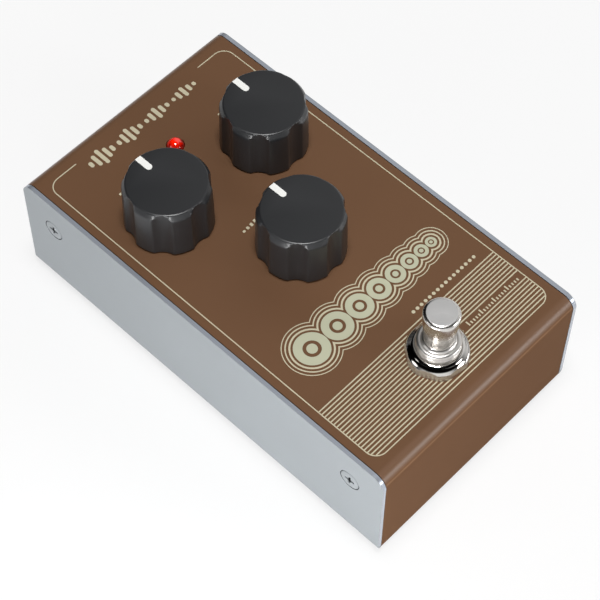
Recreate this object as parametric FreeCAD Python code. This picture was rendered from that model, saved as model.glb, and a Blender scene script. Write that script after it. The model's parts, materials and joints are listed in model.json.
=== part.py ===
import FreeCAD, Part
import math
import os

# Analog delay pedal, in millimetres. +Z is up, the footswitch end faces -Y and the jack end +Y.
# The origin is on the floor, under the middle of the whole object.

V = FreeCAD.Vector

# Case: a painted cover over a bare U-shaped chassis
case_width = 74.0
case_length = 130.2
case_height = 36.2
chassis_sheet = 1.2
cover_wall = 1.5
cover_gap = 0.2
bend_radius = 3.8
chassis_bend = 1.6
side_edge_round = 0.4
skirt_lift = 0.3
flange_depth = 17.0
lip_height = 6.0

# Side screws, two on each side, and the nuts pressed into the cover's flanges
screw_from_end = 10.84
screw_below_top = 11.6
screw_head_radius = 3.0
screw_thread_radius = 1.5
screw_length = 5.6
screw_head_height = 1.5
countersink_gap = 0.15
screw_hole_gap = 0.2
thread_gap = 0.05
insert_radius = 2.6
insert_height = 2.4
recess_width = 0.75
recess_length = 3.4
recess_depth = 1.0

# Feet
foot_radius = 5.5
foot_height = 2.2
foot_chamfer = 0.5
foot_inset_x = 9.0
foot_inset_y = 10.0

# Controls
knob_base_radius = 12.07
knob_shoulder_radius = 11.8
knob_top_radius = 10.8
knob_lift = 0.6
knob_shoulder_height = 14.9
knob_height = 16.5
knob_cavity_radius = 9.2
knob_cavity_depth = 5.9
knob_hub_radius = 5.2
knob_hub_gap = 0.5
flute_count = 7
flute_radius = 5.1
flute_depth = 1.0
pointer_width = 1.9
pointer_length = 5.1
pointer_depth = 0.5
pointer_proud = 0.05
control_x = 17.8
control_rear_y = 28.5
control_front_y = -2.3

# Potentiometers
shaft_radius = 3.0
shaft_top = 13.0
shaft_flat_depth = 1.5
shaft_running_gap = 0.05
shaft_fit_gap = 0.02
pot_thread_radius = 3.5
pot_thread_top = 4.8
pot_plate_radius = 8.0
pot_plate_height = 1.6
wafer_radius = 7.8
wafer_height = 0.8
wafer_ear_width = 14.0
wafer_ear_reach = 10.6
wafer_bore_gap = 0.5
pot_can_radius = 8.25
pot_can_wall = 0.5
pot_can_height = 3.3
wiper_radius = 6.6
wiper_height = 1.4
wiper_gap = 0.2
terminal_pitch = 5.0
terminal_width = 1.2
terminal_sheet = 0.5
pot_washer_radius = 5.6
pot_washer_height = 0.5
pot_nut_across = 10.0
pot_nut_height = 2.2
panel_hole_gap = 0.15

# Footswitch
switch_from_front = 15.5
plunger_flat_radius = 4.05
plunger_head_radius = 4.75
plunger_neck_radius = 4.6
plunger_stem_radius = 4.05
plunger_top = 19.4
plunger_edge = 0.9
plunger_head_height = 1.6
plunger_undercut = 0.2
plunger_floor_gap = 0.3
rod_radius = 2.0
rod_hole_gap = 0.4
plunger_travel = 3.0
bushing_thread_radius = 5.9
bushing_top = 7.2
bushing_chamfer = 0.6
bushing_mouth_radius = 4.45
bushing_guide_top = 1.0
thread_pitch = 0.75
thread_depth = 0.3
bushing_plate_size = 16.6
bushing_plate_height = 1.0
dress_nut_across = 15.8
dress_nut_radius = 8.4
dress_nut_wall = 2.0
dress_nut_height = 4.2
dress_nut_shoulder_radius = 6.6
dress_nut_bulge = 0.25
dress_nut_turn = 53.0
lock_washer_radius = 7.6
lock_washer_height = 0.6
lock_washer_teeth = 8
lock_washer_notch = 1.4
back_nut_across = 14.0
back_nut_height = 2.2
back_nut_play = 0.8
back_nut_turn = 30.0
switch_case_size = 17.0
switch_case_height = 13.0
switch_case_wall = 1.3
actuator_radius = 4.0
actuator_height = 1.5
actuator_drop = 0.7
spring_radius = 3.2
spring_wire = 0.6
lug_pitch_x = 4.8
lug_pitch_y = 5.3
lug_width = 2.2
lug_sheet = 0.8
lug_length = 4.6
lug_hole_gap = 0.1
switch_board_width = 24.0
switch_board_margin = 1.5
switch_board_drop = 1.5

# Boards and what stands on them
board_sheet = 1.6
board_screw_gap = 0.4
board_front_y = -26.0
board_rear_gap = 2.6
board_below_pots = 3.0
pin_hole_radius = 0.8

# Flat cable between the two boards
ribbon_width = 9.0
ribbon_height = 0.9
ribbon_straight = 0.4
header_width = 11.0
header_length = 4.2
header_height = 4.0
header_edge = 0.5
lower_header_height = 3.0

# Parts on the main board: columns from the middle or the board's edge, rows from the middle or its rear
delay_chip_width = 6.4
delay_chip_length = 9.8
delay_chip_height = 3.6
delay_chip_x = 13.0
small_chip_width = 3.9
small_chip_length = 4.9
small_chip_height = 1.9
small_chip_x = 8.0
chip_legs = 4
chip_leg_reach = 0.7
chip_leg_width = 0.5
chip_standoff = 0.4
chip_front_row = 11.3
chip_rear_row = 27.0
can_radius = 2.5
can_height = 7.0
can_groove = 0.2
can_from_edge = 5.0
can_first_row = -20.0
can_row_pitch = 12.0
can_row_count = 3
film_width = 7.2
film_length = 2.6
film_height = 6.4
film_x = 15.0
film_first_row = -21.0
film_row_pitch = 6.0
film_row_count = 3
resistor_radius = 1.0
resistor_length = 4.4
resistor_first_x = 10.5
resistor_pitch_x = 7.0
resistor_columns = 3
resistor_from_rear = 1.8
resistor_row_pitch = 6.5
resistor_rows = 3
trimmer_size = 6.4
trimmer_height = 3.6
trimmer_dial_radius = 2.2
trimmer_dial_height = 1.0
trimmer_slot_length = 3.2
trimmer_slot_width = 0.7
trimmer_slot_depth = 0.5
trimmer_pitch = 9.5
trimmer_row = 12.0
pin_show = 0.8

# Lamp
led_from_rear = 20.5
led_radius = 2.5
led_flange_radius = 2.9
led_flange_height = 1.0
led_length = 8.6
led_sunk = 0.7
led_hole_gap = 0.15
led_lead_radius = 0.3
led_lead_pitch = 2.54
led_spacer_radius = 2.9

# Signal jacks
jack_from_side = 16.0
jack_board_gap = 0.5
jack_housing_width = 16.0
jack_housing_height = 13.4
jack_housing_length = 28.5
jack_wall = 1.7
jack_front_pin = 3.0
jack_back_pin = 3.0
jack_neck_radius = 4.5
jack_bore_radius = 3.25
jack_neck_wall = 3.0
jack_hole_gap = 0.25
jack_washer_radius = 6.6
jack_washer_height = 0.4
jack_nut_across = 12.0
jack_nut_height = 1.6
jack_thread_show = 0.2
contact_sheet = 0.4
contact_width = 3.6
contact_length = 8.0
contact_gap = 0.35
contact_pin_width = 1.0

# Power jack
power_housing_width = 9.0
power_housing_height = 11.0
power_housing_length = 14.0
power_neck_radius = 4.75
power_hole_gap = 0.25
power_bore_radius = 2.8
power_bore_depth = 9.5
power_pin_radius = 1.05
power_pin_recess = 1.0
power_centre_tag = 1.2
power_outer_tag_x = -2.6
power_outer_tag = 5.0

# Battery
battery_length = 48.5
battery_width = 26.5
battery_height = 17.5
battery_round = 2.0
battery_x = -2.0
battery_y = -7.0
foam_height = 1.0
stud_pitch = 12.7
stud_radius = 2.9
stud_height = 2.6
snap_length = 26.0
snap_width = 12.6
snap_height = 3.2
snap_gap = 0.2
lead_radius = 0.7
lead_pitch = 4.0

# Worked out from the sizes above
jack_proud = jack_washer_height + jack_nut_height + jack_thread_show
mid_y = -jack_proud / 2
front_y = mid_y - case_length / 2
rear_y = mid_y + case_length / 2
base_z = foot_height
top_z = base_z + case_height
floor_z = base_z + chassis_sheet
panel_z = top_z - cover_wall
cover_half = case_width / 2 - chassis_sheet - cover_gap
inner_half = cover_half - cover_wall
screw_z = top_z - screw_below_top
controls = {
    "time": (-control_x, mid_y + control_rear_y),
    "repeats": (0.0, mid_y + control_front_y),
    "mix": (control_x, mid_y + control_rear_y),
}
switch_axis_y = front_y + switch_from_front
wafer_top = panel_z - pot_plate_height
can_top = wafer_top - wafer_height
can_bottom = can_top - pot_can_height
wiper_top = can_top - wiper_gap
board_top = can_bottom - board_below_pots
board_bottom = board_top - board_sheet
board_half = case_width / 2 - screw_length - board_screw_gap
board_rear = rear_y - cover_wall - board_rear_gap
led_axis_y = rear_y - led_from_rear
jack_x = case_width / 2 - jack_from_side
jack_axis_z = board_bottom - jack_board_gap - jack_housing_height / 2
jack_face_y = rear_y - cover_wall
jack_end_y = rear_y + jack_proud
back_nut_top = panel_z - lock_washer_height
back_nut_bottom = back_nut_top - back_nut_height
bushing_plate_top = back_nut_bottom - back_nut_play
switch_case_top = bushing_plate_top - bushing_plate_height
switch_case_bottom = switch_case_top - switch_case_height
switch_floor_z = switch_case_bottom + switch_case_wall
actuator_top = switch_case_top - switch_case_wall - actuator_drop
switch_board_top = switch_case_bottom - switch_board_drop
battery_bottom = floor_z + foam_height
battery_top = battery_bottom + battery_height
battery_end_x = battery_x + battery_length / 2
battery_axis_z = (battery_bottom + battery_top) / 2
led_bottom = top_z - led_sunk + led_radius - led_length
header_board_y = mid_y + board_front_y + header_length / 2 + header_edge
header_switch_y = switch_axis_y + (switch_case_size + header_length) / 2 + header_edge
header_switch_top = switch_board_top + lower_header_height
ribbon_level = board_bottom - header_height / 2
ribbon_bend = ribbon_level - header_switch_top - ribbon_straight


def box(x0, x1, y0, y1, z0, z1):
    return Part.makeBox(x1 - x0, y1 - y0, z1 - z0, V(x0, y0, z0))


def block(x, y, width, length, z0, z1):
    return box(x - width / 2, x + width / 2, y - length / 2, y + length / 2, z0, z1)


def post(x, y, z0, z1, radius):
    return Part.makeCylinder(radius, z1 - z0, V(x, y, z0))


def ring(x, y, z0, z1, radius, bore):
    return post(x, y, z0, z1, radius).cut(post(x, y, z0, z1, bore))


def rod_y(x, z, y0, y1, radius):
    return Part.makeCylinder(radius, y1 - y0, V(x, y0, z), V(0, 1, 0))


def rod_x(y, z, x0, x1, radius):
    return Part.makeCylinder(radius, x1 - x0, V(x0, y, z), V(1, 0, 0))


def hexagon(x, y, z0, z1, across, turn):
    reach = across / math.sqrt(3)
    corners = []
    for corner in range(7):
        angle = math.radians(turn + 60 * corner)
        corners.append(V(x + reach * math.cos(angle), y + reach * math.sin(angle), z0))
    return Part.Face(Part.makePolygon(corners)).extrude(V(0, 0, z1 - z0))


# A closed outline in the XZ plane: two numbers are a straight step, four an arc through its middle.
def outline(steps):
    edges = []
    here = V(steps[0][0], 0, steps[0][1])
    for step in steps[1:] + steps[:1]:
        end = V(step[-2], 0, step[-1])
        if len(step) == 4:
            edges.append(Part.Arc(here, V(step[0], 0, step[1]), end).toShape())
        else:
            edges.append(Part.makeLine(here, end))
        here = end
    return Part.Face(Part.Wire(edges))


def turned(x, y, steps):
    solid = outline(steps).revolve(V(0, 0, 0), V(0, 0, 1), 360)
    solid.translate(V(x, y, 0))
    return solid


def cut_all(solid, tools):
    for tool in tools:
        solid = solid.cut(tool)
    return solid


def round_edges(solid, radius, wanted):
    edges = [edge for edge in solid.Edges if wanted(edge.BoundBox)]
    return solid.makeFillet(radius, edges)


def near(a, b):
    return abs(a - b) < 0.01


# A U-shaped slab along X with its two upper Y ends rounded.
def bent_slab(half_width, y0, y1, z0, z1, radius):
    slab = box(-half_width, half_width, y0, y1, z0, z1)
    return round_edges(slab, radius, lambda b: near(b.ZMin, z1) and near(b.ZMax, z1) and near(b.YMin, b.YMax))


def screw_places():
    reach = case_length / 2 - screw_from_end
    return [(side, mid_y + end * reach) for side in (-1, 1) for end in (-1, 1)]


def top_cover():
    skirt_z = base_z + skirt_lift
    shell = bent_slab(cover_half, front_y, rear_y, skirt_z, top_z, bend_radius)
    hollow_bend = bend_radius - cover_wall
    hollow = bent_slab(inner_half, front_y + cover_wall, rear_y - cover_wall,
                       skirt_z - 1, panel_z, hollow_bend)
    below_flange = box(-cover_half - 1, cover_half + 1, front_y + cover_wall, rear_y - cover_wall,
                       skirt_z - 1, top_z - flange_depth)
    holes = []
    for x, y in controls.values():
        holes.append(post(x, y, panel_z - 1, top_z + 1, pot_thread_radius + panel_hole_gap))
    holes.append(post(0, led_axis_y, panel_z - 1, top_z + 1, led_radius + led_hole_gap))
    holes.append(post(0, switch_axis_y, panel_z - 1, top_z + 1, bushing_thread_radius + panel_hole_gap))
    for side in (-1, 1):
        holes.append(rod_y(side * jack_x, jack_axis_z, jack_face_y - 1, rear_y + 1,
                           jack_neck_radius + jack_hole_gap))
    holes.append(rod_y(0, jack_axis_z, jack_face_y - 1, rear_y + 1, power_neck_radius + power_hole_gap))
    for side, y in screw_places():
        flange_x = side * (inner_half + cover_wall / 2)
        holes.append(rod_x(y, screw_z, flange_x - cover_wall, flange_x + cover_wall,
                           screw_thread_radius + screw_hole_gap))
    return cut_all(shell.cut(hollow).cut(below_flange), holes)


def base_chassis():
    half = case_width / 2
    shell = bent_slab(half, front_y, rear_y, base_z, top_z, bend_radius)
    shell = round_edges(shell, chassis_bend, lambda b: near(b.ZMax, base_z) and near(b.XMin, b.XMax))
    rim_z = top_z - bend_radius
    shell = round_edges(shell, side_edge_round,
                        lambda b: near(b.XMin, b.XMax) and near(abs(b.XMin), half) and b.ZMax > rim_z)
    inside = half - chassis_sheet
    hollow = box(-inside, inside, front_y - 1, rear_y + 1, floor_z, top_z + 1)
    skirt = cover_wall + cover_gap
    skirt_slots = [
        box(-inside, inside, front_y - 1, front_y + skirt, base_z - 1, floor_z + 1),
        box(-inside, inside, rear_y - skirt, rear_y + 1, base_z - 1, floor_z + 1),
    ]
    chassis = cut_all(shell.cut(hollow), skirt_slots)
    lip_top = base_z + lip_height
    for lip_y in (front_y + skirt, rear_y - skirt - chassis_sheet):
        chassis = chassis.fuse(box(-inside, inside, lip_y, lip_y + chassis_sheet, base_z, lip_top))
    for side, y in screw_places():
        wide = screw_head_radius + countersink_gap
        narrow = wide - chassis_sheet
        cone = Part.makeCone(wide, narrow, chassis_sheet, V(side * half, y, screw_z), V(-side, 0, 0))
        chassis = chassis.cut(cone)
    return chassis.removeSplitter()


# One screw lies along X with its head flush with the chassis side.
def side_screw(side, y):
    head_x = side * case_width / 2
    inward = V(-side, 0, 0)
    head = Part.makeCone(screw_head_radius, screw_thread_radius, screw_head_height,
                         V(head_x, y, screw_z), inward)
    shank_x = head_x - side * screw_head_height
    shank = Part.makeCylinder(screw_thread_radius, screw_length - screw_head_height,
                              V(shank_x, y, screw_z), inward)
    middle_x = head_x - side * recess_depth / 2
    slots = []
    for width, height in ((recess_length, recess_width), (recess_width, recess_length)):
        slots.append(box(middle_x - recess_depth / 2, middle_x + recess_depth / 2,
                         y - width / 2, y + width / 2, screw_z - height / 2, screw_z + height / 2))
    return cut_all(head.fuse(shank), slots)


def side_screws():
    return Part.makeCompound([side_screw(side, y) for side, y in screw_places()])


def screw_inserts():
    inserts = []
    for side, y in screw_places():
        ends = sorted((side * inner_half, side * (inner_half - insert_height)))
        body = rod_x(y, screw_z, ends[0], ends[1], insert_radius)
        inserts.append(body.cut(rod_x(y, screw_z, ends[0], ends[1], screw_thread_radius + thread_gap)))
    return Part.makeCompound(inserts)


def rubber_feet():
    feet = []
    for side in (-1, 1):
        for end in (-1, 1):
            x = side * (case_width / 2 - foot_inset_x)
            y = mid_y + end * (case_length / 2 - foot_inset_y)
            feet.append(turned(x, y, [(0, 0), (foot_radius - foot_chamfer, 0), (foot_radius, foot_chamfer),
                                      (foot_radius, foot_height), (0, foot_height)]))
    return Part.makeCompound(feet)


# The mark on a knob points to the rear of the case at rest.
def pointer_at(x, y):
    low = top_z + knob_height - pointer_depth
    high = top_z + knob_height + pointer_proud
    half = pointer_width / 2
    outer = y + knob_top_radius
    inner = outer - pointer_length + half
    bar = box(x - half, x + half, inner, outer, low, high)
    tip = post(x, inner, low, high, half)
    return bar.fuse(tip).removeSplitter()


def shaft_at(x, y, gap, z0, z1):
    radius = shaft_radius + gap
    round_rod = post(x, y, z0, z1, radius)
    flat_y = y - shaft_radius + shaft_flat_depth - gap
    flat_z = top_z + pot_thread_top
    return round_rod.cut(box(x - radius, x + radius, y - radius, flat_y, flat_z, z1 + 1))


def knob_at(x, y):
    low = top_z + knob_lift
    shoulder = top_z + knob_shoulder_height
    top = top_z + knob_height
    body = turned(x, y, [(0, low), (knob_base_radius, low), (knob_shoulder_radius, shoulder),
                         (knob_top_radius, top), (0, top)])
    draft = (knob_base_radius - knob_shoulder_radius) / (shoulder - low) * (top - low)
    flute_reach = knob_base_radius - flute_depth + flute_radius
    for number in range(flute_count):
        angle = math.radians(-90 + 360 / flute_count * number)
        place = V(x + flute_reach * math.cos(angle), y + flute_reach * math.sin(angle), low)
        body = body.cut(Part.makeCone(flute_radius, flute_radius + draft, top - low, place))
    cavity = post(x, y, low, low + knob_cavity_depth, knob_cavity_radius)
    hub_low = top_z + pot_thread_top + knob_hub_gap
    cavity = cavity.cut(post(x, y, hub_low, low + knob_cavity_depth, knob_hub_radius))
    bore = shaft_at(x, y, shaft_fit_gap, hub_low - 1, top_z + shaft_top + knob_hub_gap)
    return cut_all(body, [cavity, bore, pointer_at(x, y)])


# The shaft turns in the threaded bushing and carries the wiper under the wafer.
def pot_shaft_at(x, y):
    return shaft_at(x, y, 0, wiper_top - wiper_height - wiper_gap, top_z + shaft_top)


def wiper_at(x, y):
    disc = ring(x, y, wiper_top - wiper_height, wiper_top, wiper_radius, shaft_radius)
    stop = block(x, y + wiper_radius, terminal_width, terminal_width, wiper_top - wiper_height, wiper_top)
    return disc.fuse(stop).removeSplitter()


def pot_bushings():
    bushings = []
    for x, y in controls.values():
        plate = post(x, y, wafer_top, panel_z, pot_plate_radius)
        neck = post(x, y, wafer_top, top_z + pot_thread_top, pot_thread_radius)
        bore = post(x, y, wafer_top - 1, top_z + pot_thread_top + 1, shaft_radius + shaft_running_gap)
        bushings.append(plate.fuse(neck).cut(bore).removeSplitter())
    return Part.makeCompound(bushings)


def pot_wafers():
    wafers = []
    for x, y in controls.values():
        disc = post(x, y, can_top, wafer_top, wafer_radius)
        half = wafer_ear_width / 2
        ear = box(x - half, x + half, y - wafer_ear_reach, y, can_top, wafer_top)
        bore = post(x, y, can_top - 1, wafer_top + 1, shaft_radius + wafer_bore_gap)
        wafers.append(disc.fuse(ear).cut(bore).removeSplitter())
    return Part.makeCompound(wafers)


def pot_cases():
    cases = []
    for x, y in controls.values():
        can = post(x, y, can_bottom, can_top, pot_can_radius)
        room = post(x, y, can_bottom + pot_can_wall, can_top + 1, pot_can_radius - pot_can_wall)
        cases.append(can.cut(room))
    return Part.makeCompound(cases)


def terminal_places():
    places = []
    for x, y in controls.values():
        for step in (-1, 0, 1):
            places.append((x + step * terminal_pitch, y - wafer_ear_reach - terminal_sheet / 2))
    return places


def pot_terminals():
    legs = []
    for x, y in terminal_places():
        legs.append(block(x, y, terminal_width, terminal_sheet, board_bottom - pin_show, wafer_top))
    return Part.makeCompound(legs)


def pot_washers():
    top = top_z + pot_washer_height
    bore = pot_thread_radius + panel_hole_gap
    return Part.makeCompound([
        ring(x, y, top_z, top, pot_washer_radius, bore) for x, y in controls.values()])


def pot_nuts():
    nuts = []
    low = top_z + pot_washer_height
    for x, y in controls.values():
        nut = hexagon(x, y, low, low + pot_nut_height, pot_nut_across, 0)
        nuts.append(nut.cut(post(x, y, low, low + pot_nut_height, pot_thread_radius + thread_gap)))
    return Part.makeCompound(nuts)


def footswitch_plunger():
    top = top_z + plunger_top
    head_low = top - plunger_edge - plunger_head_height
    stem_top = top_z + bushing_top
    stem_low = bushing_plate_top + plunger_travel + plunger_floor_gap
    edge_x = plunger_flat_radius + (plunger_head_radius - plunger_flat_radius) * math.sin(math.pi / 4)
    edge_z = top - plunger_edge * (1 - math.cos(math.pi / 4))
    return turned(0, switch_axis_y, [
        (0, actuator_top), (rod_radius, actuator_top), (rod_radius, stem_low),
        (plunger_stem_radius, stem_low),
        (plunger_stem_radius, stem_top), (plunger_neck_radius, head_low - plunger_undercut),
        (plunger_head_radius, head_low),
        (plunger_head_radius, top - plunger_edge), (edge_x, edge_z, plunger_flat_radius, top), (0, top)])


def footswitch_actuator():
    return post(0, switch_axis_y, actuator_top - actuator_height, actuator_top, actuator_radius)


def footswitch_spring():
    return ring(0, switch_axis_y, switch_floor_z, actuator_top - actuator_height,
                spring_radius, spring_radius - spring_wire)


# The bushing's thread shows above the dress nut as fine rings.
def footswitch_bushing():
    top = top_z + bushing_top
    root = bushing_thread_radius - thread_depth
    guide_radius = plunger_stem_radius + shaft_running_gap
    guide_top = top_z + bushing_guide_top
    profile = [(guide_radius, bushing_plate_top), (bushing_thread_radius, bushing_plate_top)]
    thread_low = top_z + dress_nut_height
    rings = int((top - bushing_chamfer - thread_low) / thread_pitch)
    for number in range(rings):
        low = thread_low + number * thread_pitch
        profile.append((bushing_thread_radius, low))
        profile.append((root, low + thread_pitch / 2))
    profile.append((bushing_thread_radius, thread_low + rings * thread_pitch))
    profile.append((bushing_thread_radius, top - bushing_chamfer))
    profile.append((bushing_thread_radius - bushing_chamfer, top))
    profile.append((bushing_mouth_radius, top))
    profile.append((bushing_mouth_radius, guide_top))
    profile.append((guide_radius, guide_top))
    neck = turned(0, switch_axis_y, profile)
    plate = block(0, switch_axis_y, bushing_plate_size, bushing_plate_size,
                  switch_case_top, bushing_plate_top)
    plate = plate.cut(post(0, switch_axis_y, switch_case_top, bushing_plate_top, rod_radius + rod_hole_gap))
    return neck.fuse(plate).removeSplitter()


def footswitch_nut():
    low = top_z
    wall_top = low + dress_nut_wall
    top = low + dress_nut_height
    bore = bushing_thread_radius + thread_gap
    mid_x = (dress_nut_radius + dress_nut_shoulder_radius) / 2 + dress_nut_bulge
    mid_z = (wall_top + top) / 2 + dress_nut_bulge
    dome = turned(0, switch_axis_y, [
        (bore, low), (dress_nut_radius, low), (dress_nut_radius, wall_top),
        (mid_x, mid_z, dress_nut_shoulder_radius, top), (bore, top)])
    return dome.common(hexagon(0, switch_axis_y, low, top, dress_nut_across, dress_nut_turn))


def footswitch_lock_washer():
    bore = bushing_thread_radius + thread_gap
    washer = ring(0, switch_axis_y, back_nut_top, panel_z, lock_washer_radius, bore)
    notches = []
    for number in range(lock_washer_teeth):
        notch = block(lock_washer_radius, 0, lock_washer_notch, lock_washer_notch,
                      back_nut_top - 1, panel_z + 1)
        notch.rotate(V(0, 0, 0), V(0, 0, 1), 360 / lock_washer_teeth * number)
        notch.translate(V(0, switch_axis_y, 0))
        notches.append(notch)
    return cut_all(washer, notches)


def footswitch_back_nut():
    nut = hexagon(0, switch_axis_y, back_nut_bottom, back_nut_top, back_nut_across, back_nut_turn)
    return nut.cut(post(0, switch_axis_y, back_nut_bottom, back_nut_top, bushing_thread_radius + thread_gap))


def lug_places():
    places = []
    for column in (-1, 0, 1):
        for row in (-1, 0, 1):
            places.append((column * lug_pitch_x, switch_axis_y + row * lug_pitch_y))
    return places


def lug_at(x, y, gap):
    tip = switch_case_bottom - lug_length
    return block(x, y, lug_width + 2 * gap, lug_sheet + 2 * gap, tip, switch_floor_z)


def footswitch_lugs():
    return Part.makeCompound([lug_at(x, y, 0) for x, y in lug_places()])


def footswitch_case():
    case = block(0, switch_axis_y, switch_case_size, switch_case_size, switch_case_bottom, switch_case_top)
    room_size = switch_case_size - 2 * switch_case_wall
    room = block(0, switch_axis_y, room_size, room_size, switch_floor_z, switch_case_top - switch_case_wall)
    rod_hole = post(0, switch_axis_y, switch_case_top - switch_case_wall - 1, switch_case_top + 1,
                    rod_radius + rod_hole_gap)
    return cut_all(case, [room, rod_hole] + [lug_at(x, y, 0) for x, y in lug_places()])


def switch_board():
    low = switch_board_top - board_sheet
    front_edge = switch_axis_y - switch_case_size / 2 - switch_board_margin
    rear_edge = header_switch_y + header_length / 2 + switch_board_margin
    half = switch_board_width / 2
    board = box(-half, half, front_edge, rear_edge, low, switch_board_top)
    return cut_all(board, [lug_at(x, y, lug_hole_gap) for x, y in lug_places()])


# The flat cable leaves the main board's header to the front and drops into the switch board's header.
def ribbon_headers():
    upper = block(0, header_board_y, header_width, header_length, board_bottom - header_height, board_bottom)
    lower = block(0, header_switch_y, header_width, header_length, switch_board_top, header_switch_top)
    return Part.makeCompound([upper, lower])


def ribbon_cable():
    level = ribbon_level
    start = header_board_y - header_length / 2
    turn_y = header_switch_y + ribbon_bend
    half = ribbon_height / 2
    edges = []
    slant = math.sqrt(0.5)
    middle = V(0, turn_y, level - ribbon_bend)
    outer = ribbon_bend + half
    inner = ribbon_bend - half
    points = [V(0, start, level + half), V(0, turn_y, level + half), middle + V(0, -outer, 0),
              V(0, header_switch_y - half, header_switch_top),
              V(0, header_switch_y + half, header_switch_top),
              middle + V(0, -inner, 0), V(0, turn_y, level - half), V(0, start, level - half)]
    edges.append(Part.makeLine(points[0], points[1]))
    edges.append(Part.Arc(points[1], middle + V(0, -outer * slant, outer * slant), points[2]).toShape())
    edges.append(Part.makeLine(points[2], points[3]))
    edges.append(Part.makeLine(points[3], points[4]))
    edges.append(Part.makeLine(points[4], points[5]))
    edges.append(Part.Arc(points[5], middle + V(0, -inner * slant, inner * slant), points[6]).toShape())
    edges.append(Part.makeLine(points[6], points[7]))
    edges.append(Part.makeLine(points[7], points[0]))
    band = Part.Face(Part.Wire(edges)).extrude(V(ribbon_width, 0, 0))
    band.translate(V(-ribbon_width / 2, 0, 0))
    return band


# Each signal jack: a moulded housing with a threaded neck, open inside for the plug.
def jack_contact_pins(x):
    return [(x, jack_face_y - jack_neck_wall - jack_front_pin),
            (x, jack_face_y - jack_housing_length + jack_wall + jack_back_pin)]


def contact_pin(x, y, low):
    return block(x, y, contact_pin_width, contact_sheet, low, board_top + pin_show)


def jack_housing(x):
    back = jack_face_y - jack_housing_length
    low = jack_axis_z - jack_housing_height / 2
    high = jack_axis_z + jack_housing_height / 2
    half = jack_housing_width / 2
    body = box(x - half, x + half, back, jack_face_y, low, high)
    neck = rod_y(x, jack_axis_z, jack_face_y - 1, jack_end_y, jack_neck_radius)
    bore = rod_y(x, jack_axis_z, jack_face_y - jack_neck_wall - 1, jack_end_y + 1, jack_bore_radius)
    room = box(x - half + jack_wall, x + half - jack_wall, back + jack_wall, jack_face_y - jack_neck_wall,
               low + jack_wall, high - jack_wall)
    slots = []
    for px, py in jack_contact_pins(x):
        slots.append(block(px, py, contact_pin_width, contact_sheet, jack_axis_z, high + 1))
    return cut_all(body.fuse(neck), [bore, room] + slots).removeSplitter()


def jack_contacts(x):
    contacts = []
    leaf_low = jack_axis_z + jack_bore_radius + contact_gap
    half = contact_width / 2
    for (px, py), way in zip(jack_contact_pins(x), (-1, 1)):
        pin = contact_pin(px, py, leaf_low)
        ends = sorted((py - way * contact_sheet / 2, py + way * contact_length))
        leaf = box(px - half, px + half, ends[0], ends[1], leaf_low, leaf_low + contact_sheet)
        contacts.append(pin.fuse(leaf).removeSplitter())
    return Part.makeCompound(contacts)


def jack_washers():
    end = rear_y + jack_washer_height
    washers = []
    for side in (-1, 1):
        disc = rod_y(side * jack_x, jack_axis_z, rear_y, end, jack_washer_radius)
        bore = rod_y(side * jack_x, jack_axis_z, rear_y, end, jack_neck_radius + jack_hole_gap)
        washers.append(disc.cut(bore))
    return Part.makeCompound(washers)


def jack_nuts():
    start = rear_y + jack_washer_height
    nuts = []
    for side in (-1, 1):
        nut = hexagon(0, 0, 0, jack_nut_height, jack_nut_across, 0)
        nut = nut.cut(post(0, 0, 0, jack_nut_height, jack_neck_radius + thread_gap))
        nut.rotate(V(0, 0, 0), V(1, 0, 0), -90)
        nut.translate(V(side * jack_x, start, jack_axis_z))
        nuts.append(nut)
    return Part.makeCompound(nuts)


def power_pins():
    back = jack_face_y - power_housing_length
    return [(0.0, back + power_centre_tag), (power_outer_tag_x, back + power_outer_tag)]


def power_jack_housing():
    back = jack_face_y - power_housing_length
    low = jack_axis_z - power_housing_height / 2
    high = jack_axis_z + power_housing_height / 2
    half = power_housing_width / 2
    body = box(-half, half, back, jack_face_y, low, high)
    neck = rod_y(0, jack_axis_z, jack_face_y - 1, rear_y, power_neck_radius)
    neck = neck.common(box(-power_neck_radius, power_neck_radius, jack_face_y - 1, rear_y, low, high))
    bore = rod_y(0, jack_axis_z, rear_y - power_bore_depth, rear_y + 1, power_bore_radius)
    pin_hole = rod_y(0, jack_axis_z, back, rear_y - power_bore_depth, power_pin_radius)
    slots = []
    for x, y in power_pins():
        slots.append(block(x, y, contact_pin_width, contact_sheet, jack_axis_z, high + 1))
    return cut_all(body.fuse(neck), [bore, pin_hole] + slots).removeSplitter()


def power_jack_pin():
    back = jack_face_y - power_housing_length
    start = back + power_centre_tag + contact_sheet / 2
    return rod_y(0, jack_axis_z, start, rear_y - power_pin_recess, power_pin_radius)


def power_jack_contacts():
    centre, outer = power_pins()
    return Part.makeCompound([
        contact_pin(centre[0], centre[1], jack_axis_z),
        contact_pin(outer[0], outer[1], jack_axis_z),
    ])


def led_lens():
    centre = top_z - led_sunk
    low = led_bottom
    step = led_radius * math.sqrt(0.5)
    return turned(0, led_axis_y, [
        (0, low), (led_flange_radius, low), (led_flange_radius, low + led_flange_height),
        (led_radius, low + led_flange_height), (led_radius, centre),
        (step, centre + step, 0, centre + led_radius)])


def led_lead_places():
    return [(side * led_lead_pitch / 2, led_axis_y) for side in (-1, 1)]


def led_leads():
    tip = board_bottom - pin_show
    return Part.makeCompound([
        post(x, y, tip, led_bottom, led_lead_radius) for x, y in led_lead_places()])


def led_spacer():
    spacer = post(0, led_axis_y, board_top, led_bottom, led_spacer_radius)
    return cut_all(spacer, [post(x, y, board_top, led_bottom, led_lead_radius) for x, y in led_lead_places()])


def main_board():
    board = box(-board_half, board_half, mid_y + board_front_y, board_rear, board_bottom, board_top)
    pins = terminal_places() + led_lead_places() + power_pins()
    for side in (-1, 1):
        pins = pins + jack_contact_pins(side * jack_x)
    return cut_all(board, [post(x, y, board_bottom - 1, board_top + 1, pin_hole_radius) for x, y in pins])


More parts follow.
